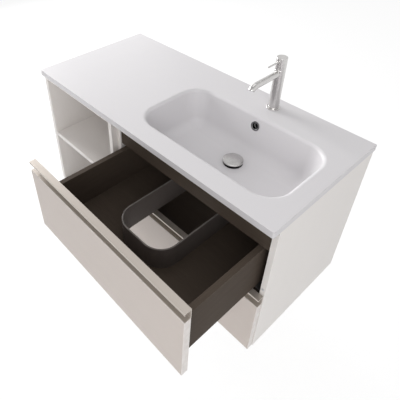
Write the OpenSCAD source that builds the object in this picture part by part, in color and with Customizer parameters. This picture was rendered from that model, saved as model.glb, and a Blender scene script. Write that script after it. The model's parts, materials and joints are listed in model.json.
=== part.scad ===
// Floating vanity: a thin one-piece washbasin top over an open shelf unit and a two-drawer unit,
// hung on wall rails. The upper drawer is drawn open, the lower one closed.
// Millimetres. X runs to the right, the wall is the plane Y = 0 and the front faces -Y. Z is up.
// The origin is the centre of the drawer unit's four wall bolts, on the wall plane.

/* [Washbasin top] */
// Width of the washbasin top
top_w = 1000; // [980:5:1100]
// Depth of the washbasin top, from the wall to its front edge
top_d = 460; // [455:1:470]
// Thickness of the washbasin top
top_t = 20; // [16:1:24]
// Length of the bowl at its rim
bowl_l = 512; // [480:2:512]
// Width of the bowl at its rim, from front to back
bowl_w = 282; // [270:2:284]
// Depth of the bowl
bowl_h = 122; // [110:1:124]
// Radius of the bowl's corners at the rim
bowl_corner_r = 78; // [76:1:90]
// Radius of the roll at the bowl's rim
rim_r = 12; // [6:1:14]
// Radius between the bowl's walls and its floor
floor_r = 45; // [30:1:46]
// Lean of the bowl's walls away from upright, in degrees
wall_lean = 14; // [8:1:14]
// Thickness of the bowl's walls
bowl_wall = 10; // [8:1:11]

/* [Cabinet] */
// Height of the cabinet below the top
cabinet_h = 500; // [496:1:510]
// Width of the drawer unit
drawer_unit_w = 600; // [600:5:640]
// Width of the open shelf unit
open_unit_w = 394; // [300:2:394]
// Thickness of the cabinet's boards
board_t = 16; // [15:1:18]
// Height of the dark front stretcher under the top
stretcher_h = 90; // [60:1:92]

/* [Drawers] */
// How far the upper drawer stands open
upper_open = 275; // [0:5:380]
// How far the lower drawer stands open
lower_open = 0; // [0:5:380]
// Thickness of the drawer fronts
front_t = 19; // [18:1:20]
// Height of each drawer front, with its handle profile
front_h = 246; // [240:1:247]
// Height of the handle profile
handle_h = 31; // [26:1:36]
// Height of the drawer sides
side_h = 150; // [120:1:150]
// Length of the drawer boxes
box_d = 390; // [360:2:392]
// Clear width of the siphon cut-out
siphon_w = 180; // [160:2:200]
// Height of the siphon guard above the drawer's floor
guard_h = 74; // [60:1:78]

/* [Mixer] */
// Height of the mixer above the top
mixer_h = 169; // [165:1:190]
// Diameter of the mixer's body
mixer_dia = 32; // [30:1:36]
// Reach of the spout, from the body's axis to the outlet
spout_reach = 128; // [110:1:140]

/* [Hidden] */

$fn = 48;

// How far a cutting shape runs past the face that it cuts
past = 1;
// How far two parts of one solid run into each other
sunk = 1;

// Bolt pattern that fixes the drawer unit to the wall
bolt_pitch_x = 460;
bolt_pitch_z = 400;
bolt_hole_r = 4.5;
bolt_drop = 60;

// Heights
cabinet_top = bolt_pitch_z / 2 + bolt_drop;
cabinet_low = cabinet_top - cabinet_h;
top_z = cabinet_top + top_t;

// Sideways places: X = 0 is the middle of the drawer unit
side_in = drawer_unit_w / 2 - board_t;
open_right = -drawer_unit_w / 2;
open_left = open_right - open_unit_w;
top_overhang = (top_w - drawer_unit_w - open_unit_w) / 2;
top_left = open_left - top_overhang;

// Places from front to back
front_inset = 11;
buffer_gap = 2;
face_y = -top_d + front_inset;
front_back_y = face_y + front_t;
carcass_y = front_back_y + buffer_gap;
back_recess = 18;

// Drawer boxes
side_gap = 16;
side_t = 16;
box_out = side_in - side_gap;
box_in = box_out - side_t;
floor_t = 12;
floor_rise = 19;
back_h = 90;
front_top_gap = 5;
front_gap = 2;
front_side_gap = 2;
front_w = drawer_unit_w - 2 * front_side_gap;
upper_front_low = cabinet_top - front_top_gap - front_h;
lower_front_low = upper_front_low - front_gap - front_h;
stretcher_gap = 3;
upper_side_low = cabinet_top - stretcher_h - stretcher_gap - side_h;
lower_side_rise = 16;
lower_side_low = cabinet_low + board_t + lower_side_rise;
guard_t = 5;
guard_corner_r = 55;
guard_front = 98;

// Runners: heights are counted from the underside of the cabinet rail
runner_drop = 5;
runner_sheet = 1.5;
runner_flange_h = 34;
runner_reach = 58;
runner_setback = 2;
runner_front_y = carcass_y + runner_setback;
runner_back_y = front_back_y + box_d;

// Bowl: its middle is the middle of the right-hand 600 mm of the top
bowl_from_right = 300;
bowl_x = top_left + top_w - bowl_from_right;
bowl_y = -260;
rim_steps = 4;
floor_steps = 6;
waste_y = -225;
bowl_floor = top_z - bowl_h;
tap_y = -55;
overflow_drop = 31;
overflow_r = 11;

// ---------------------------------------------------------------- helpers

module block(x0, x1, y0, y1, z0, z1) {
    translate([x0, y0, z0]) cube([x1 - x0, y1 - y0, z1 - z0]);
}

// A profile drawn in Y and Z, carried along X
module along_x(x0, x1) {
    translate([x0, 0, 0]) rotate([90, 0, 90]) linear_extrude(x1 - x0) children();
}

// A profile drawn in X and Z, carried along Y
module along_y(y0, y1) {
    translate([0, y1, 0]) rotate([90, 0, 0]) linear_extrude(y1 - y0) children();
}

module tube(r_out, r_in, h) {
    difference() {
        cylinder(r = r_out, h = h);
        translate([0, 0, -past]) cylinder(r = r_in, h = h + 2 * past);
    }
}

// Lays a shape drawn along +Z along +Y or along +X
module lay_y() { rotate([-90, 0, 0]) children(); }
module lay_x() { rotate([0, 90, 0]) children(); }

module white() { color([0.90, 0.89, 0.87]) children(); }
module warm_white() { color([0.86, 0.84, 0.81]) children(); }
module graphite() { color([0.24, 0.22, 0.20]) children(); }
module satin_metal() { color([0.78, 0.76, 0.72]) children(); }
module zinc() { color([0.66, 0.68, 0.70]) children(); }
module chrome() { color([0.80, 0.80, 0.80]) children(); }
module plastic_grey() { color([0.55, 0.56, 0.57]) children(); }

// ---------------------------------------------------------------- washbasin top

// Inset of the straight wall from the rim line, at the height z below the top
function wall_inset(z) = rim_r * cos(wall_lean)
    + (-z - rim_r * (1 - sin(wall_lean))) * tan(wall_lean);

floor_arc_z = -bowl_h + floor_r;
floor_arc_r = bowl_corner_r - wall_inset(floor_arc_z - floor_r * sin(wall_lean))
    - floor_r * cos(wall_lean);

// Radius and height of the points round a wall-to-floor arc of radius r
function floor_arc(r) = [
    for (i = [0 : floor_steps])
    let (a = wall_lean + (90 - wall_lean) * i / floor_steps)
    [floor_arc_r + r * cos(a), floor_arc_z - r * sin(a)]
];

// The hollow's profile: the rolled rim, the leaning wall, the arc and the floor
hollow_profile = concat(
    [[0, past], [bowl_corner_r, past]],
    [
        for (i = [0 : rim_steps])
        let (a = (90 - wall_lean) * i / rim_steps)
        [bowl_corner_r - rim_r * sin(a), -rim_r + rim_r * cos(a)]
    ],
    floor_arc(floor_r),
    [[0, -bowl_h]]
);

shell_top_z = -top_t / 2;
// The shell's profile: the same wall and arc, one wall's thickness further out
shell_profile = concat(
    [
        [0, shell_top_z],
        [bowl_corner_r - wall_inset(shell_top_z) + bowl_wall / cos(wall_lean), shell_top_z]
    ],
    floor_arc(floor_r + bowl_wall),
    [[0, -bowl_h - bowl_wall]]
);

// A body with rounded corners whose four sides all have the given profile
module rounded_vessel(profile) {
    half_l = bowl_l / 2 - bowl_corner_r;
    half_w = bowl_w / 2 - bowl_corner_r;
    high = max([for (p = profile) p[1]]);
    low = min([for (p = profile) p[1]]);
    for (q = [[1, 1, 0], [-1, 1, 90], [-1, -1, 180], [1, -1, 270]])
        translate([q[0] * half_l, q[1] * half_w, 0])
            rotate([0, 0, q[2]]) rotate_extrude(angle = 90) polygon(profile);
    for (s = [0, 180]) {
        rotate([0, 0, s]) translate([0, half_w, 0])
            along_x(-half_l, half_l) polygon(profile);
        rotate([0, 0, s]) translate([half_l, 0, 0])
            along_y(-half_w, half_w) polygon(profile);
    }
    block(-half_l, half_l, -half_w, half_w, low, high);
}

// Moves a shape drawn along +Z onto the back wall, square to it and pointing out of the bowl
overflow_y = bowl_y + bowl_w / 2 - wall_inset(-overflow_drop);
module at_overflow() {
    translate([bowl_x, overflow_y, top_z - overflow_drop])
        rotate([-90 - wall_lean, 0, 0]) children();
}

top_corner_r = 6;
top_edge = 1.5;
overflow_boss_r = 15;
overflow_boss_h = bowl_wall + 6;
layer_t = 1;
top_facets = 32;
waste_hole_r = 22.5;
waste_seat_r = 31;
waste_seat_h = 2.5;
tap_hole_r = 17.5;

// A thin plate with rounded corners, inset evenly from the top's outline
module top_layer(inset, z, h) {
    x0 = top_left + top_corner_r;
    x1 = top_left + top_w - top_corner_r;
    y0 = -top_d + top_corner_r;
    for (x = [x0, x1])
        translate([x, y0, z]) cylinder(r = top_corner_r - inset, h = h, $fn = top_facets);
    block(x0 - top_corner_r + inset, x1 + top_corner_r - inset, -layer_t, 0, z, z + h);
}

module basin_top() {
    white()
    difference() {
        union() {
            hull() {
                top_layer(top_edge, cabinet_top, layer_t);
                top_layer(0, cabinet_top + top_edge, top_t - 2 * top_edge);
                top_layer(top_edge, top_z - layer_t, layer_t);
            }
            translate([bowl_x, bowl_y, top_z]) rounded_vessel(shell_profile);
            at_overflow() cylinder(r = overflow_boss_r, h = overflow_boss_h);
        }
        translate([bowl_x, bowl_y, top_z]) rounded_vessel(hollow_profile);
        at_overflow() translate([0, 0, -past])
            cylinder(r = overflow_r, h = overflow_boss_h + 2 * past);
        translate([bowl_x, waste_y, bowl_floor - waste_seat_h])
            cylinder(r = waste_seat_r, h = waste_seat_h + past);
        translate([bowl_x, waste_y, bowl_floor - bowl_wall - past])
            cylinder(r = waste_hole_r, h = bowl_wall + 2 * past);
        translate([bowl_x, tap_y, cabinet_top - past])
            cylinder(r = tap_hole_r, h = top_t + 2 * past);
    }
}

ring_flange_r = 15;
ring_flange_t = 1.2;
ring_bore_r = 9.5;
ring_gap = 0.05;
sleeve_gap = 0.1;
// The trim ring that lines the overflow hole
module overflow_ring() {
    chrome()
    at_overflow() {
        translate([0, 0, -ring_flange_t - ring_gap])
            tube(ring_flange_r, ring_bore_r, ring_flange_t);
        translate([0, 0, -2 * ring_gap]) tube(overflow_r - sleeve_gap, ring_bore_r, bowl_wall);
    }
}

elbow_r = 11;
elbow_wall = 2;
elbow_len = 19;
hose_r = 9;
hose_bore_r = 7;
hose_drop = 66;
hose_bend_r = 30;
nipple_r = 6.8;
nipple_bore_r = 5;
nipple_len = 16;
elbow_mid = overflow_boss_h + elbow_len / 2;
hose_y = round(10 * (overflow_y + elbow_mid * cos(wall_lean))) / 10;
elbow_mid_z = top_z - overflow_drop - elbow_mid * sin(wall_lean);
hose_top = top_z - hose_drop;
collar_drop = 16;
collar_z = bowl_floor - bowl_wall - collar_drop;
nipple_reach = 52;

// The elbow behind the overflow: a capped socket with a nipple that points down
module overflow_elbow() {
    nipple_low = hose_top - nipple_len;
    plastic_grey()
    difference() {
        union() {
            at_overflow() translate([0, 0, overflow_boss_h]) cylinder(r = elbow_r, h = elbow_len);
            translate([bowl_x, hose_y, nipple_low])
                cylinder(r = nipple_r, h = elbow_mid_z - nipple_low);
        }
        at_overflow() translate([0, 0, overflow_boss_h - past])
            cylinder(r = elbow_r - elbow_wall, h = elbow_len - elbow_wall + past);
        translate([bowl_x, hose_y, nipple_low - past])
            cylinder(r = nipple_bore_r, h = elbow_mid_z - nipple_low + past);
    }
}

// The overflow hose: down behind the bowl, round one bend and forward to the collar
module overflow_hose() {
    bend_y = hose_y - hose_bend_r;
    bend_z = collar_z + hose_bend_r;
    hose_end_y = waste_y + nipple_reach - nipple_len;
    plastic_grey() translate([bowl_x, 0, 0]) {
        translate([0, hose_y, bend_z]) tube(hose_r, hose_bore_r, hose_top - bend_z);
        translate([0, bend_y, bend_z]) rotate([90, 0, 90]) rotate([0, 0, -90])
            rotate_extrude(angle = 90) translate([hose_bend_r, 0]) difference() {
                circle(r = hose_r);
                circle(r = hose_bore_r);
            }
        translate([0, hose_end_y, collar_z]) lay_y() tube(hose_r, hose_bore_r, bend_y - hose_end_y);
    }
}

// ---------------------------------------------------------------- waste and trap

tail_r = 21;
tail_bore_r = 17.5;
tail_h = 70;
tail_low = bowl_floor - tail_h;
thread_gap = 0.1;
stem_r = 3;
stem_gap = 0.08;
stem_len = 24;
spider_drop = 22;
spider_z = bowl_floor - spider_drop;
spider_h = 5;
spider_hub_r = 6;
spider_rib = 3;
window_w = 12;
window_h = 8;
flange_gap = 0.3;

module at_waste(z) { translate([bowl_x, waste_y, z]) children(); }

// Waste body: the flange in the bowl, the threaded tail, its overflow windows and the stem guide
module waste_body() {
    chrome() {
        difference() {
            union() {
                at_waste(bowl_floor - waste_seat_h)
                    cylinder(r = waste_seat_r - flange_gap, h = waste_seat_h);
                at_waste(tail_low) cylinder(r = tail_r, h = tail_h - sunk);
            }
            at_waste(tail_low - past) cylinder(r = tail_bore_r, h = tail_h + 2 * past);
            for (a = [0, 90])
                at_waste(collar_z - window_h / 2) rotate([0, 0, a])
                    block(-window_w / 2, window_w / 2, -tail_r - past, tail_r + past, 0, window_h);
        }
        difference() {
            at_waste(spider_z) {
                cylinder(r = spider_hub_r, h = spider_h);
                for (a = [0, 60, 120])
                    rotate([0, 0, a]) block(-tail_bore_r - sunk, tail_bore_r + sunk,
                                            -spider_rib / 2, spider_rib / 2, 0, spider_h);
            }
            at_waste(spider_z - past) cylinder(r = stem_r + stem_gap, h = spider_h + 2 * past);
        }
    }
}

collar_h = 22;
collar_r = 29;
collar_wall = 3;
collar_room_h = 14;
// The collar under the bowl that lets the overflow into the waste
module waste_collar() {
    plastic_grey()
    at_waste(collar_z) difference() {
        union() {
            translate([0, 0, -collar_h / 2]) cylinder(r = collar_r, h = collar_h);
            lay_y() cylinder(r = nipple_r, h = nipple_reach);
        }
        translate([0, 0, -collar_h / 2 - past])
            cylinder(r = tail_r + thread_gap, h = collar_h + 2 * past);
        translate([0, 0, -collar_room_h / 2]) cylinder(r = collar_r - collar_wall, h = collar_room_h);
        lay_y() cylinder(r = nipple_bore_r, h = nipple_reach + past);
    }
}

waste_nut_h = 10;
waste_nut_r = 31;
module waste_nut() {
    plastic_grey()
    at_waste(collar_z - collar_h / 2 - waste_nut_h) difference() {
        cylinder(r = waste_nut_r, h = waste_nut_h, $fn = 6);
        translate([0, 0, -past]) cylinder(r = tail_r + thread_gap, h = waste_nut_h + 2 * past);
    }
}

cap_r = 31;
cap_gap = 7.3;
cap_edge_h = 3;
cap_dome_h = 2.6;
cap_neck_r = 8;
cap_neck_h = 9;
dome_facets = 180;
// The push-open waste cap on its stem, drawn open
module waste_cap() {
    dome_r = (cap_r * cap_r + cap_dome_h * cap_dome_h) / (2 * cap_dome_h);
    chrome()
    at_waste(bowl_floor + cap_gap) {
        cylinder(r = cap_r, h = cap_edge_h);
        translate([0, 0, cap_edge_h]) rotate_extrude() intersection() {
            translate([0, cap_dome_h - dome_r]) circle(r = dome_r, $fn = dome_facets);
            square([cap_r, cap_dome_h + past]);
        }
        translate([0, 0, -cap_neck_h]) cylinder(r = cap_neck_r, h = cap_neck_h);
        translate([0, 0, -cap_gap - stem_len]) cylinder(r = stem_r, h = cap_gap + stem_len);
    }
}

trap_top = tail_low;
trap_neck_r = 18;
trap_neck_h = 15;
trap_neck_bore_r = 14;
trap_nut_h = 20;
trap_nut_r = 27;
trap_nut_lip = 6;
module trap_inlet_nut() {
    plastic_grey()
    at_waste(trap_top - trap_nut_lip) difference() {
        cylinder(r = trap_nut_r, h = trap_nut_h);
        translate([0, 0, trap_nut_lip]) cylinder(r = tail_r + thread_gap, h = trap_nut_h);
        translate([0, 0, -past])
            cylinder(r = trap_neck_r + thread_gap, h = trap_nut_lip + 2 * past);
    }
}

trap_r = 27;
trap_wall = 4;
trap_h = 76;
trap_low = trap_top - trap_h;
trap_roof = 3;
neck_step = 1;
dip_r = 12;
dip_wall = 1.5;
dip_reach = 12;
dip_low = trap_low - dip_reach;
branch_drop = 40;
branch_z = trap_top - branch_drop;
branch_wall = 2;
branch_len = 46;
pipe_r = 16;
pipe_wall = 1.5;
// The bottle trap's upper body, with its dip tube and its outlet branch
module trap_body() {
    shoulder = trap_top - trap_neck_h + sunk;
    ceiling = shoulder - trap_roof;
    chrome() {
        difference() {
            union() {
                at_waste(trap_low) cylinder(r = trap_r, h = shoulder - trap_low);
                at_waste(shoulder - sunk) cylinder(r = trap_neck_r, h = trap_neck_h);
                at_waste(branch_z) lay_y() cylinder(r = pipe_r + branch_wall, h = branch_len);
            }
            at_waste(trap_low - past) cylinder(r = trap_r - trap_wall, h = ceiling - trap_low + past);
            at_waste(ceiling - past)
                cylinder(r = dip_r - dip_wall, h = trap_neck_h + trap_roof + 2 * past);
            at_waste(shoulder + neck_step) cylinder(r = trap_neck_bore_r, h = trap_neck_h);
            at_waste(branch_z) lay_y() cylinder(r = pipe_r - pipe_wall, h = branch_len + past);
        }
        at_waste(dip_low) tube(dip_r, dip_r - dip_wall, ceiling - dip_low + sunk);
    }
}

cup_r = 31;
cup_wall = 3;
cup_taper = 6;
cup_gap = 2;
cup_room = 42;
cup_top = branch_z - pipe_r - branch_wall - cup_gap;
cup_low = trap_low - cup_room;
// The bottle trap's cup, screwed on below the branch
module trap_cup() {
    chrome()
    at_waste(cup_low) difference() {
        union() {
            cylinder(r1 = cup_r - cup_taper, r2 = cup_r, h = cup_taper);
            translate([0, 0, cup_taper]) cylinder(r = cup_r, h = cup_top - cup_low - cup_taper);
        }
        translate([0, 0, cup_wall]) cylinder(r = trap_r + thread_gap, h = cup_top - cup_low);
    }
}

pipe_past_wall = 35;
pipe_mark_y = -1.5;
pipe_mark_w = 1.5;
pipe_mark_depth = 0.5;
// The outlet pipe, with the groove that marks how far it goes into the wall
module trap_outlet_pipe() {
    start_y = waste_y + branch_len;
    chrome()
    translate([bowl_x, start_y, branch_z]) lay_y() difference() {
        tube(pipe_r, pipe_r - pipe_wall, pipe_past_wall - start_y);
        translate([0, 0, pipe_mark_y - start_y])
            tube(pipe_r + past, pipe_r - pipe_mark_depth, pipe_mark_w);
    }
}

rosette_r = 32;
rosette_top_r = 21;
rosette_rim = 2;
rosette_h = 9;
rosette_gap = 0.2;
module wall_rosette() {
    chrome()
    translate([bowl_x, 0, branch_z]) rotate([90, 0, 0]) difference() {
        union() {
            cylinder(r = rosette_r, h = rosette_rim);
            translate([0, 0, rosette_rim])
                cylinder(r1 = rosette_r, r2 = rosette_top_r, h = rosette_h - rosette_rim);
        }
        translate([0, 0, -past]) cylinder(r = pipe_r + rosette_gap, h = rosette_h + 2 * past);
    }
}

// ---------------------------------------------------------------- mixer

mixer_r = mixer_dia / 2;
base_h = 4;
base_r = 21;
base_edge = 1;
shank_r = 14;
shank_drop = 36;
shank_rise = 12;
cap_h = 38;
cap_split = mixer_h - cap_h;
cap_edge = 1;
ball_over = 2;
ball_r = mixer_r + ball_over;
ball_gap = 0.3;
ball_z = cap_split - sqrt(ball_r * ball_r - mixer_r * mixer_r);
spout_r = 9.5;
spout_wall = 1.5;
spout_drop = 11.5;
spout_z = cap_split - spout_drop;
spout_turn = 50;
spout_bend = 24;
spout_seat = 13;
spout_channel = 5;
pin_r = 2.5;
pin_drop = 10.5;
pin_z = mixer_h - pin_drop;
pin_reach = 62;

module at_mixer() { translate([bowl_x, tap_y, top_z]) children(); }

module mixer_base_ring() {
    satin_metal()
    at_mixer() difference() {
        union() {
            cylinder(r = base_r, h = base_h - base_edge);
            translate([0, 0, base_h - base_edge])
                cylinder(r1 = base_r, r2 = base_r - base_edge, h = base_edge);
        }
        translate([0, 0, -past]) cylinder(r = shank_r + thread_gap, h = base_h + 2 * past);
    }
}

cartridge_r = 11;
cartridge_h = 15;
cartridge_drop = 29;
cartridge_z = ball_z - cartridge_drop;
stem_opening_r = 8.6;
cheek_rise = 3;
// Body with a ball-shaped top that the cap turns and tilts on
module mixer_body() {
    satin_metal()
    at_mixer() difference() {
        union() {
            translate([0, 0, base_h]) cylinder(r = mixer_r, h = cap_split - base_h);
            intersection() {
                translate([0, 0, ball_z]) sphere(r = ball_r);
                translate([0, 0, cap_split - sunk]) cylinder(r = mixer_r, h = ball_r);
            }
        }
        translate([0, 0, cartridge_z]) cylinder(r = cartridge_r, h = cartridge_drop + cheek_rise);
        translate([0, 0, ball_z]) cylinder(r = stem_opening_r, h = ball_r + past);
        translate([0, 0, base_h - past])
            cylinder(r = shank_r + thread_gap, h = shank_rise - base_h + past);
        translate([0, -spout_channel, spout_z]) rotate([90, 0, 0]) cylinder(r = spout_r, h = mixer_r);
    }
}

// Where the spout's straight run ends and its bend starts, to the nearest 0.1 mm
spout_run = round(10 * (spout_reach - spout_bend * sin(spout_turn))) / 10;

module mixer_spout() {
    satin_metal()
    at_mixer() {
        translate([0, -spout_seat, spout_z]) rotate([90, 0, 0])
            tube(spout_r, spout_r - spout_wall, spout_run - spout_seat);
        translate([0, -spout_run, spout_z - spout_bend]) rotate([0, 90, 0]) rotate([0, 0, 180])
            rotate_extrude(angle = spout_turn) translate([spout_bend, 0]) difference() {
                circle(r = spout_r);
                circle(r = spout_r - spout_wall);
            }
    }
}

aerator_gap = 0.5;
aerator_over = 0.6;
aerator_r = spout_r - spout_wall - aerator_gap;
aerator_wall = 1.4;
aerator_in = 3;
aerator_lip = 1.2;
aerator_lip_r = spout_r - spout_wall + aerator_over;
// The aerator in the spout's outlet
module spout_aerator() {
    chrome()
    at_mixer() translate([0, -spout_run, spout_z - spout_bend]) rotate([90 + spout_turn, 0, 0])
        translate([0, spout_bend, 0]) difference() {
            union() {
                translate([0, 0, -aerator_in]) cylinder(r = aerator_r, h = aerator_in);
                cylinder(r = aerator_lip_r, h = aerator_lip);
            }
            translate([0, 0, -aerator_in - past])
                cylinder(r = aerator_r - aerator_wall, h = aerator_in + aerator_lip + 2 * past);
        }
}

inlet_r = 4.5;
inlet_x = 6.8;
inlet_depth = 14;
// Threaded shank through the top, with the two supply inlets in its lower end
module mixer_shank() {
    zinc()
    at_mixer() difference() {
        translate([0, 0, -shank_drop]) cylinder(r = shank_r, h = shank_drop + shank_rise);
        for (s = [-1, 1])
            translate([s * inlet_x, 0, -shank_drop - past])
                cylinder(r = inlet_r, h = inlet_depth + past);
    }
}

nut_h = 10;
nut_flats_r = 17.8;
module mixer_nut() {
    zinc()
    translate([bowl_x, tap_y, cabinet_top - nut_h]) difference() {
        cylinder(r = nut_flats_r / cos(30), h = nut_h, $fn = 6);
        translate([0, 0, -past]) cylinder(r = shank_r + thread_gap, h = nut_h + 2 * past);
    }
}

port_r = 2.4;
port_ring_r = 5.5;
port_depth = 11;
// The cartridge's ceramic-disc housing, with its two inlets and one outlet underneath
module mixer_cartridge() {
    plastic_grey()
    at_mixer() translate([0, 0, cartridge_z]) difference() {
        cylinder(r = cartridge_r - thread_gap, h = cartridge_h);
        for (a = [0, 120, 240])
            rotate([0, 0, a]) translate([port_ring_r, 0, -past])
                cylinder(r = port_r, h = port_depth + past);
    }
}

lever_stem_r = 4;
stem_below_pin = 8;
stem_top = pin_z - stem_below_pin;
turntable_r = 9;
turntable_h = 8;
turntable_gap = 0.4;
turntable_z = cartridge_z + cartridge_h + turntable_gap;
cross_pin_r = 1.5;
cross_pin_gap = 0.05;
cheek_in = lever_stem_r + turntable_gap;
cheek_out = 7.2;
cheek_half_d = 3.2;
// The turntable on the cartridge: it turns with the lever, and its two cheeks carry the cross pin
module cartridge_turntable() {
    plastic_grey()
    at_mixer() difference() {
        union() {
            translate([0, 0, turntable_z]) cylinder(r = turntable_r, h = turntable_h);
            for (s = [0, 1])
                mirror([s, 0, 0]) block(cheek_in, cheek_out, -cheek_half_d, cheek_half_d,
                                        turntable_z + turntable_h - sunk, ball_z + cheek_rise);
        }
        translate([-cheek_out - past, 0, ball_z]) lay_x()
            cylinder(r = cross_pin_r + cross_pin_gap, h = 2 * (cheek_out + past));
    }
}

// The stem that carries the cap: a ball on a cross pin, which tilts in the turntable's cheeks
module cartridge_stem() {
    zinc()
    at_mixer() {
        translate([0, 0, ball_z]) sphere(r = lever_stem_r);
        translate([0, 0, ball_z]) cylinder(r = lever_stem_r, h = stem_top - ball_z);
        translate([-cheek_out, 0, ball_z]) lay_x() cylinder(r = cross_pin_r, h = 2 * cheek_out);
    }
}

module mixer_cap() {
    satin_metal()
    at_mixer() difference() {
        union() {
            translate([0, 0, cap_split]) cylinder(r = mixer_r, h = cap_h - cap_edge);
            translate([0, 0, mixer_h - cap_edge])
                cylinder(r1 = mixer_r, r2 = mixer_r - cap_edge, h = cap_edge);
        }
        translate([0, 0, ball_z]) sphere(r = ball_r + ball_gap);
        translate([0, 0, ball_z]) cylinder(r = lever_stem_r, h = stem_top - ball_z);
        translate([0, 0, pin_z]) rotate([90, 0, 0]) cylinder(r = pin_r, h = mixer_r + past);
    }
}

pin_edge = 0.7;
module lever_pin() {
    satin_metal()
    at_mixer() translate([0, 0, pin_z]) rotate([90, 0, 0]) {
        cylinder(r = pin_r, h = pin_reach - pin_edge);
        translate([0, 0, pin_reach - pin_edge])
            cylinder(r1 = pin_r, r2 = pin_r - pin_edge, h = pin_edge);
    }
}

// ---------------------------------------------------------------- open unit

shelf_top_z = 10;
shelf_setback = 2;
shelf_front_y = face_y + shelf_setback;
back_t = 6;
back_y = -back_recess - back_t;
pin_hole_r = 2.5;
pin_in = 8;
pin_ys = [-400, -80];
pin_low_z = shelf_top_z - board_t - pin_hole_r;
connector_ys = [-380, -90];
connector_zs = [215, -110];
connector_r = 3;
connector_gap = 0.1;

// The four bolt holes through the two sides that stand back to back
module connector_holes() {
    for (y = connector_ys)
        for (z = connector_zs)
            translate([open_right - board_t - past, y, z]) lay_x()
                cylinder(r = connector_r + connector_gap, h = 2 * (board_t + past));
}

// The holes for the four shelf pins, in both sides of the open unit
module shelf_pin_holes() {
    for (y = pin_ys) {
        translate([open_left + board_t - pin_in, y, pin_low_z]) lay_x()
            cylinder(r = pin_hole_r, h = pin_in + past);
        translate([open_right - board_t - past, y, pin_low_z]) lay_x()
            cylinder(r = pin_hole_r, h = pin_in + past);
    }
}

module open_unit_left_side() {
    white()
    difference() {
        block(open_left, open_left + board_t, face_y, 0, cabinet_low, cabinet_top);
        shelf_pin_holes();
    }
}

module open_unit_right_side() {
    white()
    difference() {
        block(open_right - board_t, open_right, face_y, 0, cabinet_low, cabinet_top);
        shelf_pin_holes();
        connector_holes();
    }
}

module open_unit_board(y0, y1, z0, z1) {
    block(open_left + board_t, open_right - board_t, y0, y1, z0, z1);
}

module open_unit_top() { white() open_unit_board(face_y, 0, cabinet_top - board_t, cabinet_top); }

module open_unit_bottom() { white() open_unit_board(face_y, 0, cabinet_low, cabinet_low + board_t); }

module open_unit_back() {
    white() open_unit_board(back_y, -back_recess, cabinet_low + board_t, cabinet_top - board_t);
}

module open_unit_shelf() {
    white() open_unit_board(shelf_front_y, back_y, shelf_top_z - board_t, shelf_top_z);
}

module shelf_pins() {
    zinc()
    for (y = pin_ys) {
        translate([open_left + board_t - pin_in, y, pin_low_z]) lay_x()
            cylinder(r = pin_hole_r, h = 2 * pin_in);
        translate([open_right - board_t - pin_in, y, pin_low_z]) lay_x()
            cylinder(r = pin_hole_r, h = 2 * pin_in);
    }
}

// ---------------------------------------------------------------- drawer unit

module drawer_unit_left_side() {
    white()
    difference() {
        block(-side_in - board_t, -side_in, carcass_y, 0, cabinet_low, cabinet_top);
        connector_holes();
    }
}

module drawer_unit_right_side() {
    white() block(side_in, side_in + board_t, carcass_y, 0, cabinet_low, cabinet_top);
}

module drawer_unit_bottom() {
    white() block(-side_in, side_in, carcass_y, 0, cabinet_low, cabinet_low + board_t);
}

stretcher_inset = 4;
module front_stretcher() {
    graphite()
    block(-side_in, side_in, carcass_y + stretcher_inset, carcass_y + stretcher_inset + board_t,
          cabinet_top - stretcher_h, cabinet_top);
}

rear_stretcher_h = 100;
module rear_stretcher() {
    white()
    block(-side_in, side_in, -back_recess - board_t, -back_recess,
          cabinet_top - rear_stretcher_h, cabinet_top);
}

batten_h = 80;
module wall_batten() {
    white()
    difference() {
        block(-side_in, side_in, -board_t, 0, cabinet_low + board_t, cabinet_low + board_t + batten_h);
        for (s = [-1, 1])
            translate([s * bolt_pitch_x / 2, -board_t - past, -bolt_pitch_z / 2]) lay_y()
                cylinder(r = bolt_hole_r, h = board_t + 2 * past);
    }
}

rail_t = 2;
rail_h = 40;
rail_lip_y = -8;
rail_lip_h = 12;
rail_end_gap = 2;
open_bolt_pitch = 260;
open_mid = (open_left + open_right) / 2;
// Cross-section of a wall rail: a flat strip with a hooked upper edge
module wall_rail_profile() {
    z0 = bolt_pitch_z / 2 - rail_h / 2;
    z1 = bolt_pitch_z / 2 + rail_h / 2;
    polygon([
        [0, z0], [0, z1], [rail_lip_y + rail_t, z1], [rail_lip_y + rail_t, z1 + rail_lip_h],
        [rail_lip_y, z1 + rail_lip_h], [rail_lip_y, z1 - rail_t], [-rail_t, z1 - rail_t], [-rail_t, z0]
    ]);
}

module wall_rail(x0, x1, holes) {
    difference() {
        along_x(x0, x1) wall_rail_profile();
        for (x = holes)
            translate([x, -rail_t - past, bolt_pitch_z / 2]) lay_y()
                cylinder(r = bolt_hole_r, h = rail_t + 2 * past);
    }
}

module wall_rails() {
    zinc() {
        wall_rail(-side_in + rail_end_gap, side_in - rail_end_gap,
                  [-bolt_pitch_x / 2, bolt_pitch_x / 2]);
        wall_rail(open_left + board_t + rail_end_gap, open_right - board_t - rail_end_gap,
                  [open_mid - open_bolt_pitch / 2, open_mid + open_bolt_pitch / 2]);
    }
}

hanger_w = 40;
hanger_h = 60;
hanger_head_h = 4;
hanger_front_gap = 1;
tongue_gap = 0.6;
tongue_t = 2.8;
tongue_drop = 9;
// A hanger seen from the side: its body, and the tongue that drops behind the rail's lip
module hanger_profile() {
    lip_top = bolt_pitch_z / 2 + rail_h / 2 + rail_lip_h;
    high = lip_top + hanger_head_h;
    low = high - hanger_h;
    body_y = rail_lip_y - hanger_front_gap;
    tongue_y = rail_lip_y + rail_t + tongue_gap;
    polygon([
        [-back_recess, low], [body_y, low], [body_y, lip_top], [tongue_y, lip_top],
        [tongue_y, lip_top - tongue_drop], [tongue_y + tongue_t, lip_top - tongue_drop],
        [tongue_y + tongue_t, high], [-back_recess, high]
    ]);
}

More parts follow.
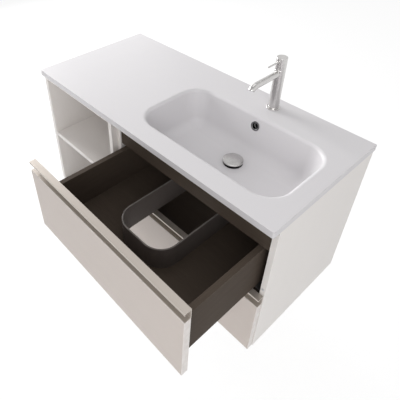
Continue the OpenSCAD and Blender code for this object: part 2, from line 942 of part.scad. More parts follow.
module cabinet_hangers() {
    zinc()
    for (x = [-side_in, side_in - hanger_w, open_left + board_t, open_right - board_t - hanger_w])
        along_x(x, x + hanger_w) hanger_profile();
}

connector_head_r = 7;
connector_head_t = 2;
module unit_connector_bolts() {
    zinc()
    for (y = connector_ys)
        for (z = connector_zs)
            translate([open_right - board_t, y, z]) lay_x() {
                cylinder(r = connector_r, h = 2 * board_t);
                translate([0, 0, -connector_head_t]) cylinder(r = connector_head_r, h = connector_head_t);
                translate([0, 0, 2 * board_t]) cylinder(r = connector_head_r, h = connector_head_t);
            }
}

buffer_rise = 20;
buffer_zs = [upper_front_low + buffer_rise, lower_front_low + buffer_rise];
buffer_r = 4;
buffer_top_r = 2.6;
buffer_foot_h = 0.9;
buffer_dome_h = 0.8;
module front_buffers() {
    color([0.85, 0.87, 0.88])
    for (s = [-1, 1])
        for (z = buffer_zs)
            translate([s * (side_in + board_t / 2), carcass_y, z]) rotate([90, 0, 0]) {
                cylinder(r = buffer_r, h = buffer_foot_h);
                translate([0, 0, buffer_foot_h])
                    cylinder(r1 = buffer_r, r2 = buffer_top_r, h = buffer_dome_h);
            }
}

// ---------------------------------------------------------------- runners

// Shapes are drawn for the right-hand runner: u counts from the cabinet side inwards
module runner_pair(y0, y1, z) {
    for (s = [0, 1])
        mirror([s, 0, 0]) translate([side_in, 0, z]) mirror([1, 0, 0]) along_y(y0, y1) children();
}

channel_in = 34;
channel_h = 9;
lip_w = 6;
module cabinet_rail_profile() {
    t = runner_sheet;
    polygon([
        [0, 0], [runner_reach, 0], [runner_reach, channel_h + t],
        [runner_reach - lip_w, channel_h + t], [runner_reach - lip_w, channel_h],
        [runner_reach - t, channel_h], [runner_reach - t, t], [channel_in + t, t],
        [channel_in + t, channel_h], [channel_in + lip_w, channel_h],
        [channel_in + lip_w, channel_h + t], [channel_in, channel_h + t], [channel_in, t],
        [t, t], [t, runner_flange_h], [0, runner_flange_h]
    ]);
}

rail_mid = (channel_in + runner_reach) / 2;
middle_low = 2;
middle_high = 21.6;
middle_sheet = 2;
middle_foot = 9.6;
middle_head = 6;
middle_web = 2;
// The middle rail: a foot in the cabinet rail's channel, a web and a head
module middle_rail_profile() {
    foot_top = middle_low + middle_sheet;
    head_low = middle_high - middle_sheet;
    half = [
        [middle_foot, middle_low], [middle_foot, foot_top], [middle_web, foot_top],
        [middle_web, head_low], [middle_head, head_low], [middle_head, middle_high]
    ];
    translate([rail_mid, 0]) polygon(concat(
        half,
        [for (i = [len(half) - 1 : -1 : 0]) [-half[i][0], half[i][1]]]
    ));
}

drawer_rail_half = 10;
drawer_rail_slot = 3;
drawer_rail_sheet = 1.8;
drawer_rail_low = 14;
// The drawer rail: a channel, open below, that wraps the middle rail's head
module drawer_rail_profile() {
    t = drawer_rail_sheet;
    low = drawer_rail_low;
    high = runner_drop + floor_rise;
    half = [
        [drawer_rail_half - t, high - t], [drawer_rail_half - t, low + t],
        [drawer_rail_slot, low + t], [drawer_rail_slot, low],
        [drawer_rail_half, low], [drawer_rail_half, high]
    ];
    translate([rail_mid, 0]) polygon(concat(
        half,
        [for (i = [len(half) - 1 : -1 : 0]) [-half[i][0], half[i][1]]]
    ));
}

module cabinet_rails(side_low) {
    zinc() runner_pair(runner_front_y, runner_back_y, side_low - runner_drop) cabinet_rail_profile();
}

middle_rail_short = 20;
module middle_rails(side_low, open) {
    zinc() translate([0, -open / 2, 0])
        runner_pair(runner_front_y + runner_setback, runner_back_y - middle_rail_short,
                    side_low - runner_drop) middle_rail_profile();
}

module drawer_rails(side_low, open) {
    zinc() translate([0, -open, 0])
        runner_pair(runner_front_y - runner_setback, runner_back_y - runner_setback,
                    side_low - runner_drop) drawer_rail_profile();
}

module upper_cabinet_rails() { cabinet_rails(upper_side_low); }
module upper_middle_rails() { middle_rails(upper_side_low, upper_open); }
module upper_drawer_rails() { drawer_rails(upper_side_low, upper_open); }
module lower_cabinet_rails() { cabinet_rails(lower_side_low); }
module lower_middle_rails() { middle_rails(lower_side_low, lower_open); }
module lower_drawer_rails() { drawer_rails(lower_side_low, lower_open); }

// ---------------------------------------------------------------- drawers

module front_panel(low, open) {
    warm_white() translate([0, -open, 0])
        block(-front_w / 2, front_w / 2, face_y, front_back_y, low, low + front_h - handle_h);
}

profile_t = 2;
profile_lip = 6;
profile_foot_t = 1.5;
profile_foot_in = 1;
// The handle profile: a channel, open to the front, with a short lip that fingers pull
module handle_profile(low, open) {
    z0 = low + front_h - handle_h;
    z1 = low + front_h;
    satin_metal() translate([0, -open, 0]) along_x(-front_w / 2, front_w / 2) polygon([
        [face_y, z1], [front_back_y, z1], [front_back_y, z0], [face_y + profile_foot_in, z0],
        [face_y + profile_foot_in, z0 + profile_foot_t],
        [front_back_y - profile_t, z0 + profile_foot_t],
        [front_back_y - profile_t, z1 - profile_t], [face_y + profile_t, z1 - profile_t],
        [face_y + profile_t, z1 - profile_lip], [face_y, z1 - profile_lip]
    ]);
}

module drawer_side(x0, x1, low, open) {
    graphite() translate([0, -open, 0])
        block(x0, x1, front_back_y, front_back_y + box_d, low, low + side_h);
}

// Plan outline of the siphon cut-out, grown by g: square at the back, round at the front
module siphon_outline(g) {
    half = siphon_w / 2 + g;
    front = front_back_y + guard_front + guard_t - g;
    r = guard_corner_r + g;
    back = front_back_y + box_d + past;
    for (s = [-1, 1])
        translate([s * (half - r), front + r]) circle(r = r);
    translate([-half, front + r]) square([2 * half, back - front - r]);
    translate([-half + r, front]) square([2 * (half - r), r + sunk]);
}

module upper_front_panel() { front_panel(upper_front_low, upper_open); }
module upper_handle_profile() { handle_profile(upper_front_low, upper_open); }
module upper_left_side() { drawer_side(-box_out, -box_in, upper_side_low, upper_open); }
module upper_right_side() { drawer_side(box_in, box_out, upper_side_low, upper_open); }

module drawer_back(x0, x1, low, open) {
    y1 = front_back_y + box_d;
    z0 = low + floor_rise + floor_t;
    translate([0, -open, 0]) block(x0, x1, y1 - side_t, y1, z0, z0 + back_h);
}

module drawer_floor(low, open) {
    translate([0, -open, 0])
        block(-box_in, box_in, front_back_y, front_back_y + box_d, low + floor_rise,
              low + floor_rise + floor_t);
}

// The upper drawer's back: one piece on each side of the siphon cut-out
module upper_back_pieces() {
    cut = siphon_w / 2 + guard_t;
    graphite() {
        drawer_back(-box_in, -cut, upper_side_low, upper_open);
        drawer_back(cut, box_in, upper_side_low, upper_open);
    }
}

module upper_bottom() {
    graphite()
    difference() {
        drawer_floor(upper_side_low, upper_open);
        translate([0, -upper_open, upper_side_low + floor_rise - past])
            linear_extrude(floor_t + 2 * past) siphon_outline(guard_t);
    }
}

// The wall round the siphon cut-out: one band, open at the back
module siphon_guard() {
    graphite()
    translate([0, -upper_open, upper_side_low + floor_rise])
        intersection() {
            linear_extrude(floor_t + guard_h) difference() {
                siphon_outline(guard_t);
                siphon_outline(0);
            }
            block(-siphon_w, siphon_w, front_back_y, front_back_y + box_d,
                  -past, floor_t + guard_h + past);
        }
}

module lower_front_panel() { front_panel(lower_front_low, lower_open); }
module lower_handle_profile() { handle_profile(lower_front_low, lower_open); }
module lower_left_side() { drawer_side(-box_out, -box_in, lower_side_low, lower_open); }
module lower_right_side() { drawer_side(box_in, box_out, lower_side_low, lower_open); }
module lower_back() { graphite() drawer_back(-box_in, box_in, lower_side_low, lower_open); }
module lower_bottom() { graphite() drawer_floor(lower_side_low, lower_open); }

basin_top();
overflow_ring();
overflow_elbow();
overflow_hose();
waste_body();
waste_collar();
waste_nut();
waste_cap();
trap_inlet_nut();
trap_body();
trap_cup();
trap_outlet_pipe();
wall_rosette();
mixer_base_ring();
mixer_body();
mixer_spout();
spout_aerator();
mixer_shank();
mixer_nut();
mixer_cartridge();
cartridge_turntable();
cartridge_stem();
mixer_cap();
lever_pin();
open_unit_left_side();
open_unit_right_side();
open_unit_top();
open_unit_bottom();
open_unit_back();
open_unit_shelf();
shelf_pins();
drawer_unit_left_side();
drawer_unit_right_side();
drawer_unit_bottom();
front_stretcher();
rear_stretcher();
wall_batten();
wall_rails();
cabinet_hangers();
unit_connector_bolts();
front_buffers();
upper_cabinet_rails();
upper_middle_rails();
upper_drawer_rails();
lower_cabinet_rails();
lower_middle_rails();
lower_drawer_rails();
upper_front_panel();
upper_handle_profile();
upper_left_side();
upper_right_side();
upper_back_pieces();
upper_bottom();
siphon_guard();
lower_front_panel();
lower_handle_profile();
lower_left_side();
lower_right_side();
lower_back();
lower_bottom();
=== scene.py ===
import json
import logging
import math
from collections.abc import Iterable, Sequence
from dataclasses import dataclass
from enum import Enum

import bmesh
import bpy
from mathutils import Matrix, Vector


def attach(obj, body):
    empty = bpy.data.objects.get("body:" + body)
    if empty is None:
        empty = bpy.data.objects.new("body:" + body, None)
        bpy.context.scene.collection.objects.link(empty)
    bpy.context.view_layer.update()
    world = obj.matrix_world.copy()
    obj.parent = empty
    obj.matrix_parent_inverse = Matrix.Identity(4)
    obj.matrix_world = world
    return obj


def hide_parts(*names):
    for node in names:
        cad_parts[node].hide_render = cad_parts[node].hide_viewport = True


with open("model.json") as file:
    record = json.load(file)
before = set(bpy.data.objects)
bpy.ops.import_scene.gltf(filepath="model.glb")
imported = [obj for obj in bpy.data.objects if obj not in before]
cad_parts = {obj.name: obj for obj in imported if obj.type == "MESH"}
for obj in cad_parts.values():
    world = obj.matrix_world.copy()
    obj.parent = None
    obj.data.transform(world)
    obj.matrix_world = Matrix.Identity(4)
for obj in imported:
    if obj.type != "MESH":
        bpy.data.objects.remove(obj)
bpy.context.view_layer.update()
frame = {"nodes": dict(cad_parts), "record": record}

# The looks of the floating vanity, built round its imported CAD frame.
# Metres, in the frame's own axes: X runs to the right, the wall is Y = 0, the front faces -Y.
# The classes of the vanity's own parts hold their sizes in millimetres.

LOG = logging.getLogger("vanity")
RECORD = frame["record"]
BODY_OF = {node: body for body, nodes in RECORD["behaviour"]["bodies"].items() for node in nodes}
SLOT_OF = {part["node"]: part["material_slot"] for part in RECORD["subparts"]}

MM = 0.001
WELD = 1e-6
QUARTER = math.pi / 2
EDGE_LAYER = "edge"

Mesh = bmesh.types.BMesh
Socket = bpy.types.NodeSocket
Tree = bpy.types.NodeTree
Colour = tuple[float, float, float]
Point = tuple[float, float, float]
Pair = tuple[float, float]

SHADER, VECTOR, COLOUR = "ShaderNodeTree", "NodeSocketVector", "NodeSocketColor"
FLOAT, GEOMETRY = "NodeSocketFloat", "NodeSocketGeometry"
SOCKET_OF = {float: FLOAT, int: "NodeSocketInt", tuple: COLOUR}
GREY = (0.5, 0.5, 0.5)


class Axis(Enum):
    """The direction that a grain, a brushing or a turned part follows."""

    X = 0
    Y = 1
    Z = 2

    def scales(self, along: float, across: float) -> Point:
        """Returns pattern scales with one value along this axis and another across it."""
        return tuple(along if i == self.value else across for i in range(3))


# ------------------------------------------------------------------ node trees


class NodeTree:
    """A node tree that is being built.

    Attributes:
        tree: Blender's own tree.
    """

    def __init__(self, tree: Tree) -> None:
        """Empties the tree, which a new material or world has filled."""
        tree.nodes.clear()
        self.tree = tree

    def add(self, kind: str, inputs: dict | None = None, **settings: object) -> bpy.types.Node:
        """Adds a node.

        Args:
            kind: The node's type.
            inputs: The socket, number or colour that each input takes, by its name or place.
            settings: Values of the node's own properties.

        Returns:
            The node.
        """
        node = self.tree.nodes.new(kind)
        for label, value in settings.items():
            setattr(node, label, value)
        for label, value in (inputs or {}).items():
            if isinstance(value, Socket):
                self.tree.links.new(value, node.inputs[label])
            elif node.inputs[label].type == "RGBA":
                node.inputs[label].default_value = (*value, 1.0)
            else:
                node.inputs[label].default_value = value
        return node

    def group(self, tree: Tree, inputs: dict) -> bpy.types.bpy_prop_collection:
        """Places a group with its own inputs and returns its outputs."""
        return self.add("ShaderNodeGroup", inputs, node_tree=tree).outputs

    def math(self, operation: str, *values: Socket | float) -> Socket:
        """Adds a math node and returns its value."""
        return self.add("ShaderNodeMath", dict(enumerate(values)), operation=operation).outputs[0]

    def noise(self, vector: Socket, scale: float, detail: float) -> Socket:
        """Adds a noise texture of a fixed scale and returns its value."""
        inputs = {"Vector": vector, "Scale": scale, "Detail": detail}
        return self.add("ShaderNodeTexNoise", inputs).outputs[0]

    def mix(self, factor: Socket, a: Socket, b: Socket) -> Socket:
        """Adds a mix of two colours and returns it."""
        return self.add("ShaderNodeMix", {0: factor, 6: a, 7: b}, data_type="RGBA").outputs[2]


class GroupTree(NodeTree):
    """A node group with named inputs and outputs.

    Attributes:
        source: The group's inputs, as its own nodes take them.
        target: The group's outputs, as its own nodes fill them.
    """

    def __init__(self, name: str, kind: str, inputs: dict, outputs: dict[str, str]) -> None:
        """Makes the group and its sockets.

        Args:
            name: The group's name.
            kind: The type of its tree.
            inputs: The first value of each input, or its socket type where it has none.
            outputs: The socket type of each output.
        """
        super().__init__(bpy.data.node_groups.new(name, kind))
        face = self.tree.interface
        for label, value in inputs.items():
            bare = isinstance(value, str)
            socket = face.new_socket(
                label, in_out="INPUT", socket_type=value if bare else SOCKET_OF[type(value)])
            if not bare:
                socket.default_value = (*value, 1.0) if isinstance(value, tuple) else value
        for label, value in outputs.items():
            face.new_socket(label, in_out="OUTPUT", socket_type=value)
        self.source = self.add("NodeGroupInput").outputs
        self.target = self.add("NodeGroupOutput").inputs

    def put_out(self, **sockets: Socket) -> Tree:
        """Joins a socket to each named output.

        Args:
            sockets: The socket of each output.

        Returns:
            The finished tree.
        """
        for label, socket in sockets.items():
            self.tree.links.new(socket, self.target[label])
        return self.tree


class GrowthTree(GroupTree):
    """A Geometry Nodes tree that grows a shape."""

    def __init__(self, name: str, inputs: dict) -> None:
        """Makes the tree with its own inputs, besides its geometry and material."""
        every = {"Geometry": GEOMETRY, **inputs, "Material": "NodeSocketMaterial"}
        super().__init__(name, "GeometryNodeTree", every, {"Geometry": GEOMETRY})

    def finish(self, instances: Socket) -> Tree:
        """Ends the tree with real geometry and its material.

        Args:
            instances: What the tree has grown.

        Returns:
            The finished tree.
        """
        real = self.add("GeometryNodeRealizeInstances", {"Geometry": instances})
        dressed = self.add("GeometryNodeSetMaterial", {
            "Geometry": real.outputs[0], "Material": self.source["Material"]})
        return self.put_out(Geometry=dressed.outputs[0])


# ------------------------------------------------------------------ shader groups


def make_grain_group() -> Tree:
    """Builds the grain: a fine and a coarse noise on the given vector.

    Returns:
        A group that puts out a colour between two tones and a height.
    """
    g = GroupTree("fine_grain", SHADER, {
        "Vector": VECTOR, "Tone": GREY, "Second tone": GREY, "Contrast": 1.0,
    }, {"Color": COLOUR, "Height": FLOAT})
    fine_share, coarse_scale = 0.65, 0.13
    fine = g.noise(g.source["Vector"], 1.0, 3.0)
    coarse = g.noise(g.source["Vector"], coarse_scale, 2.0)
    both = g.math("ADD", g.math("MULTIPLY", fine, fine_share),
                  g.math("MULTIPLY", coarse, 1.0 - fine_share))
    centred = g.math("MULTIPLY", g.math("SUBTRACT", both, 0.5), g.source["Contrast"])
    share = g.math("MINIMUM", g.math("MAXIMUM", g.math("ADD", centred, 0.5), 0.0), 1.0)
    return g.put_out(Color=g.mix(share, g.source["Tone"], g.source["Second tone"]), Height=fine)


def make_haze_group() -> Tree:
    """Builds the handling haze: a wide, soft change of tone and gloss.

    Returns:
        A group that puts out a colour and a roughness.
    """
    g = GroupTree("handling_haze", SHADER, {
        "Vector": VECTOR, "Color": GREY, "Haze tone": GREY, "Amount": 0.2, "Roughness": 0.4,
        "Roughness spread": 0.1,
    }, {"Color": COLOUR, "Roughness": FLOAT})
    wide = g.noise(g.source["Vector"], 4.0, 2.0)
    small = g.noise(g.source["Vector"], 31.0, 3.0)
    factor = g.math("MULTIPLY", g.math("MULTIPLY", wide, small), g.source["Amount"])
    spread = g.math("MULTIPLY", g.math("SUBTRACT", small, 0.5), g.source["Roughness spread"])
    return g.put_out(Color=g.mix(factor, g.source["Color"], g.source["Haze tone"]),
                     Roughness=g.math("ADD", g.source["Roughness"], spread))


def make_edge_highlight_group() -> Tree:
    """Builds the painted edge highlight: a lighter tone on rounded edges, broken up by noise,
    with a little less roughness there.

    Returns:
        A group that puts out a colour and a roughness.
    """
    g = GroupTree("eased_edge", SHADER, {
        "Vector": VECTOR, "Edge": 0.0, "Color": GREY, "Edge tone": GREY, "Amount": 0.5,
        "Roughness": 0.4,
    }, {"Color": COLOUR, "Roughness": FLOAT})
    least_highlight, polish = 0.3, -0.08
    highlight_noise = g.math("ADD", g.noise(g.source["Vector"], 55.0, 2.0), least_highlight)
    factor = g.math("MULTIPLY", g.math("MULTIPLY", g.source["Edge"], highlight_noise), g.source["Amount"])
    # Painted highlight: the highlight tone goes onto the faces in the edge mask, in patches from
    # the noise.
    return g.put_out(
        Color=g.mix(factor, g.source["Color"], g.source["Edge tone"]),
        Roughness=g.math("ADD", g.source["Roughness"],
                         g.math("MULTIPLY", g.source["Edge"], polish)))


def make_speckle_group() -> Tree:
    """Builds the mineral speckle of the cast top.

    Returns:
        A group that puts out a colour and a height.
    """
    g = GroupTree("mineral_speckle", SHADER, {
        "Vector": VECTOR, "Color": GREY, "Speck": GREY, "Amount": 0.3,
    }, {"Color": COLOUR, "Height": FLOAT})
    speck_size, thinning = 0.26, 0.52
    cells = g.add("ShaderNodeTexVoronoi", {"Vector": g.source["Vector"], "Scale": 620.0})
    speck = g.math("LESS_THAN", cells.outputs["Distance"], speck_size)
    thin = g.math("GREATER_THAN", g.noise(g.source["Vector"], 210.0, 1.0), thinning)
    factor = g.math("MULTIPLY", g.math("MULTIPLY", speck, thin), g.source["Amount"])
    return g.put_out(Color=g.mix(factor, g.source["Color"], g.source["Speck"]),
                     Height=g.noise(g.source["Vector"], 900.0, 2.0))


GRAIN = make_grain_group()
HAZE = make_haze_group()
EDGE_HIGHLIGHT = make_edge_highlight_group()
SPECKLE = make_speckle_group()


# ------------------------------------------------------------------ finishes


@dataclass(frozen=True)
class Finish:
    """A finish: two tones with a grain between them, haze, a painted highlight on eased edges and
    a bump.

    Attributes:
        name: The finish's name, which its materials start with.
        tone: The main colour.
        second: The grain's second colour.
        edge: The colour of the painted highlight on eased edges; the speckled mineral takes it as
            its speck colour instead.
        roughness: The middle roughness.
        spread: How far the roughness wanders.
        metallic: 1 for bare metal.
        grain_along: Pattern scale along the grain, per metre.
        grain_across: Pattern scale across the grain, per metre.
        rings: True where thin rings stack along the axis, as on a turned part.
        contrast: How hard the grain's two tones part.
        haze: How much the wide haze shows.
        highlight_amount: How much the painted edge highlight shows.
        bump: The bump's depth in metres.
        speckled: True for the cast mineral's speckle.
        clear: Transmission weight of a clear material.
        anisotropy: How far the highlight is drawn out across the brushing.
        specular: Strength of the plain reflection of a surface that isn't metal.
    """

    name: str
    tone: Colour
    second: Colour
    edge: Colour
    roughness: float
    spread: float = 0.08
    metallic: float = 0.0
    grain_along: float = 300.0
    grain_across: float = 300.0
    rings: bool = False
    contrast: float = 1.0
    haze: float = 0.2
    highlight_amount: float = 0.5
    bump: float = 0.00002
    speckled: bool = False
    clear: float = 0.0
    anisotropy: float = 0.0
    specular: float = 0.5

    def material(self, axis: Axis = Axis.Z) -> bpy.types.Material:
        """Builds the finish's material for a grain that runs along an axis, or finds it.

        Args:
            axis: The grain's or the brushing's axis.

        Returns:
            The material.
        """
        label = f"{self.name}_{axis.name.lower()}"
        if label in bpy.data.materials:
            return bpy.data.materials[label]
        made = bpy.data.materials.new(label)
        made.use_nodes = True
        t = NodeTree(made.node_tree)
        place = t.add("ShaderNodeTexCoord").outputs["Object"]
        scales = (self.grain_along, self.grain_across)
        stretch = t.add("ShaderNodeMapping", {
            "Vector": place, "Scale": axis.scales(*(scales[::-1] if self.rings else scales))})
        grain = t.group(GRAIN, {
            "Vector": stretch.outputs[0], "Tone": self.tone, "Second tone": self.second,
            "Contrast": self.contrast})
        if self.speckled:
            grain = t.group(SPECKLE, {
                "Vector": place, "Color": grain["Color"], "Speck": self.edge,
                "Amount": self.contrast})
        haze = t.group(HAZE, {
            "Vector": place, "Color": grain["Color"], "Haze tone": self.second,
            "Amount": self.haze, "Roughness": self.roughness, "Roughness spread": self.spread})
        eased = t.add("ShaderNodeAttribute", attribute_name=EDGE_LAYER).outputs["Fac"]
        # Painted highlight: the edge colour is mixed in on the faces of the rounded edges.
        edge = t.group(EDGE_HIGHLIGHT, {
            "Vector": place, "Edge": eased, "Color": haze["Color"], "Edge tone": self.edge,
            "Amount": self.highlight_amount, "Roughness": haze["Roughness"]})
        bump = t.add("ShaderNodeBump", {"Distance": self.bump, "Height": grain["Height"]})
        shader = t.add("ShaderNodeBsdfPrincipled", {
            "Base Color": edge["Color"], "Roughness": edge["Roughness"],
            "Normal": bump.outputs[0], "Metallic": self.metallic,
            "Transmission Weight": self.clear, "Anisotropic": self.anisotropy,
            "Specular IOR Level": self.specular})
        t.add("ShaderNodeOutputMaterial", {"Surface": shader.outputs[0]})
        return made


CAST_MINERAL = Finish(
    "cast_mineral", tone=(0.705, 0.688, 0.702), second=(0.67, 0.653, 0.667),
    edge=(0.60, 0.585, 0.60), roughness=0.42, spread=0.12, contrast=0.30, haze=0.25,
    highlight_amount=0.0, bump=0.00003, speckled=True, grain_along=60.0, grain_across=60.0,
    specular=0.4,
)
CARCASS_BOARD = Finish(
    "white_laminate", tone=(0.86, 0.825, 0.80), second=(0.82, 0.785, 0.76),
    edge=(0.90, 0.875, 0.85), roughness=0.46, contrast=1.2,
    grain_along=40.0, grain_across=420.0, specular=0.4,
)
# The white board's tone made darker as painted shade for the less-lit front faces; its edge
# colour is a strong painted highlight.
FRONT_BOARD_PAINTED_SHADE = Finish(
    "white_front_painted_shade", tone=(0.605, 0.535, 0.492), second=(0.565, 0.50, 0.46),
    edge=(0.95, 0.93, 0.92), roughness=0.44, contrast=1.2, bump=0.000025,
    grain_along=40.0, grain_across=420.0, highlight_amount=0.55, specular=0.45,
)
GRAPHITE_BOARD = Finish(
    "graphite_laminate", tone=(0.058, 0.044, 0.034), second=(0.077, 0.059, 0.046),
    edge=(0.105, 0.085, 0.070), roughness=0.68, contrast=2.2, haze=0.35, bump=0.00006,
    grain_along=26.0, grain_across=520.0, highlight_amount=0.8, specular=0.1,
)
GUARD_PLASTIC = Finish(
    "graphite_plastic", tone=(0.074, 0.062, 0.057), second=(0.098, 0.083, 0.076),
    edge=(0.17, 0.155, 0.145), roughness=0.5, contrast=1.6, haze=0.3, bump=0.00004,
    grain_along=900.0, grain_across=900.0, highlight_amount=0.8, specular=0.25,
)
HANDLE_ALUMINIUM = Finish(
    "champagne_aluminium", tone=(0.525, 0.473, 0.425), second=(0.455, 0.408, 0.366),
    edge=(0.70, 0.655, 0.60), roughness=0.42, metallic=0.55, contrast=1.6,
    grain_along=12.0, grain_across=1400.0, highlight_amount=0.8,
)
BRUSHED_STEEL = Finish(
    "brushed_steel", tone=(0.71, 0.695, 0.685), second=(0.57, 0.56, 0.55),
    edge=(0.85, 0.84, 0.83), roughness=0.24, spread=0.10, metallic=1.0, contrast=2.0,
    bump=0.000012, grain_along=30.0, grain_across=2600.0, rings=True, anisotropy=0.5,
)
POLISHED_CHROME = Finish(
    "polished_chrome", tone=(0.62, 0.625, 0.63), second=(0.57, 0.575, 0.58),
    edge=(0.8, 0.8, 0.8), roughness=0.09, spread=0.05, metallic=1.0, haze=0.25, bump=0.000004,
)
SHADED_CHROME = Finish(
    "shaded_chrome", tone=(0.30, 0.30, 0.305), second=(0.26, 0.26, 0.265),
    edge=(0.42, 0.42, 0.425), roughness=0.2, spread=0.06, metallic=1.0, haze=0.25,
    bump=0.000004,
)
BRASS = Finish(
    "machined_brass", tone=(0.60, 0.46, 0.22), second=(0.50, 0.37, 0.17),
    edge=(0.75, 0.6, 0.33), roughness=0.3, metallic=1.0, contrast=1.8,
    grain_along=40.0, grain_across=2200.0, rings=True,
)
ZINC_STEEL = Finish(
    "zinc_plated_steel", tone=(0.56, 0.575, 0.59), second=(0.44, 0.455, 0.475),
    edge=(0.70, 0.71, 0.72), roughness=0.36, spread=0.14, metallic=1.0, contrast=2.2,
    haze=0.3, bump=0.00001, grain_along=90.0, grain_across=260.0,
)
# Zinc-plated steel made nearly black as painted shade: the drawer runners sit in the shadowed gap
# inside the carcass.
RUNNER_STEEL_PAINTED_SHADE = Finish(
    "runner_steel_painted_shade", tone=(0.115, 0.11, 0.105), second=(0.085, 0.081, 0.078),
    edge=(0.20, 0.195, 0.19), roughness=0.42, spread=0.14, metallic=0.7, contrast=2.2,
    haze=0.3, bump=0.00001, grain_along=90.0, grain_across=260.0,
)
GREY_PLASTIC = Finish(
    "grey_plastic", tone=(0.34, 0.35, 0.36), second=(0.30, 0.31, 0.32),
    edge=(0.46, 0.47, 0.48), roughness=0.42, contrast=1.2, bump=0.00003,
    grain_along=700.0, grain_across=700.0,
)
# Grey plastic made black as painted shade: the overflow elbow sits behind the overflow hole,
# which is in shadow.
ELBOW_PLASTIC_PAINTED_SHADE = Finish(
    "elbow_plastic_painted_shade", tone=(0.022, 0.022, 0.023), second=(0.030, 0.030, 0.031),
    edge=(0.05, 0.05, 0.05), roughness=0.5, contrast=1.2, bump=0.00003,
    grain_along=700.0, grain_across=700.0,
)
CLEAR_RUBBER = Finish(
    "clear_rubber", tone=(0.80, 0.82, 0.83), second=(0.76, 0.78, 0.79),
    edge=(0.86, 0.88, 0.89), roughness=0.3, contrast=0.8, bump=0.00001, clear=0.4,
)
FINISH_OF_SLOT = {
    "solid_surface": CAST_MINERAL,
    "carcass_board": CARCASS_BOARD,
    "front_board": FRONT_BOARD_PAINTED_SHADE,
    "graphite_board": GRAPHITE_BOARD,
    "graphite_plastic": GUARD_PLASTIC,
    "handle_aluminium": HANDLE_ALUMINIUM,
    "satin_steel": BRUSHED_STEEL,
    "chrome": POLISHED_CHROME,
    "brass": BRASS,
    "zinc_steel": ZINC_STEEL,
    "grey_plastic": GREY_PLASTIC,
    "clear_rubber": CLEAR_RUBBER,
}


# ------------------------------------------------------------------ mesh helpers


def as_data(bm: Mesh) -> bpy.types.Mesh:
    """Turns a mesh into Blender's mesh data.

    Args:
        bm: The mesh, which is freed.

    Returns:
        The data.
    """
    data = bpy.data.meshes.new("held")
    bm.to_mesh(data)
    bm.free()
    return data


def placed(name: str, data: bpy.types.ID) -> bpy.types.Object:
    """Puts a mesh, a lamp or a camera into the scene.

    Args:
        name: The object's name.
        data: The object's data.

    Returns:
        The object.
    """
    made = bpy.data.objects.new(name, data)
    bpy.context.scene.collection.objects.link(made)
    return made


def discard(holder: bpy.types.Object) -> None:
    """Takes an object out of the scene.

    Args:
        holder: The object, which goes with its mesh data.
    """
    data = holder.data
    bpy.data.objects.remove(holder)
    bpy.data.meshes.remove(data)


def applied(holder: bpy.types.Object) -> bpy.types.Mesh:
    """Applies an object's modifiers.

    Args:
        holder: The object, which is removed.

    Returns:
        The plain mesh data that the modifiers make.
    """
    graph = bpy.context.evaluated_depsgraph_get()
    made = bpy.data.meshes.new_from_object(holder.evaluated_get(graph), depsgraph=graph)
    discard(holder)
    return made


def welded(data: bpy.types.Mesh) -> Mesh:
    """Takes mesh data up as a mesh, with its doubles merged.

    Args:
        data: The mesh data, which is removed.

    Returns:
        The mesh.
    """
    bm = bmesh.new()
    bm.from_mesh(data)
    bpy.data.meshes.remove(data)
    bmesh.ops.remove_doubles(bm, verts=bm.verts, dist=WELD)
    return bm


def publish(
    name: str, bm: Mesh, node: str, axis: Axis = Axis.Z, finish: Finish | None = None
) -> None:
    """Turns a mesh into the finished piece that stands for a CAD node.

    The normals are weighted by face area, so that wide faces stay flat beside rounded edges.

    Args:
        name: The piece's name.
        bm: The mesh, which is freed.
        node: The CAD node that the piece replaces, which gives its body and slot.
        axis: The direction of its grain or brushing.
        finish: The finish, where it isn't the slot's own.
    """
    sharp_from = math.radians(32.0)
    for face in bm.faces:
        face.smooth = True
    for line in bm.edges:
        line.smooth = len(line.link_faces) == 2 and line.calc_face_angle(0.0) < sharp_from
    body, slot = BODY_OF[node], SLOT_OF[node]
    data = as_data(bm)
    data.materials.clear()
    data.materials.append((finish or FINISH_OF_SLOT[slot]).material(axis))
    holder = placed("held", data)
    holder.modifiers.new("flat", "WEIGHTED_NORMAL").keep_sharp = True
    mesh = applied(holder)
    mesh.name = name
    piece = placed(name, mesh)
    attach(piece, body)
    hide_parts(node)
    LOG.info("%s: %d faces on %s, for %s", name, len(mesh.polygons), body, node)


def loft(rings: Sequence[Sequence[Point]], closed: bool = False) -> Mesh:
    """Joins rings of equally many points with quads.

    Args:
        rings: The rings, in order.
        closed: True where the last ring joins the first, so that no end is open.

    Returns:
        The mesh, with its open ends capped and its faces turned outwards.
    """
    bm = bmesh.new()
    rows = [[bm.verts.new(p) for p in ring] for ring in rings]
    count = len(rows[0])
    for low, high in zip(rows, rows[1:] + rows[:1] if closed else rows[1:]):
        for i in range(count):
            j = (i + 1) % count
            bm.faces.new((low[i], low[j], high[j], high[i]))
    if not closed:
        bm.faces.new(list(reversed(rows[0])))
        bm.faces.new(rows[-1])
    bmesh.ops.remove_doubles(bm, verts=bm.verts, dist=WELD)
    bmesh.ops.recalc_face_normals(bm, faces=bm.faces)
    return bm


def lathe(profile: Sequence[Pair], count: int = 72, bored: bool = False) -> Mesh:
    """Turns a profile of radius and height round Z.

    Args:
        profile: Radius and height of each point, in millimetres, from bottom to top.
        count: Steps round the axis.
        bored: True where the profile is a closed loop round a bore.

    Returns:
        The turned mesh, closed.
    """
    pole_r = 0.0005
    turn = 2 * math.pi / count
    rings = [[(max(r, pole_r) * MM * math.cos(i * turn), max(r, pole_r) * MM * math.sin(i * turn),
               z * MM) for i in range(count)] for r, z in profile]
    bm = loft(rings, closed=bored)
    bmesh.ops.remove_doubles(bm, verts=bm.verts, dist=2 * WELD)
    return bm


def cylinder(radius: float, low: float, high: float, count: int = 64) -> Mesh:
    """Returns a plain round bar along Z, in millimetres."""
    return lathe([(radius, low), (radius, high)], count)


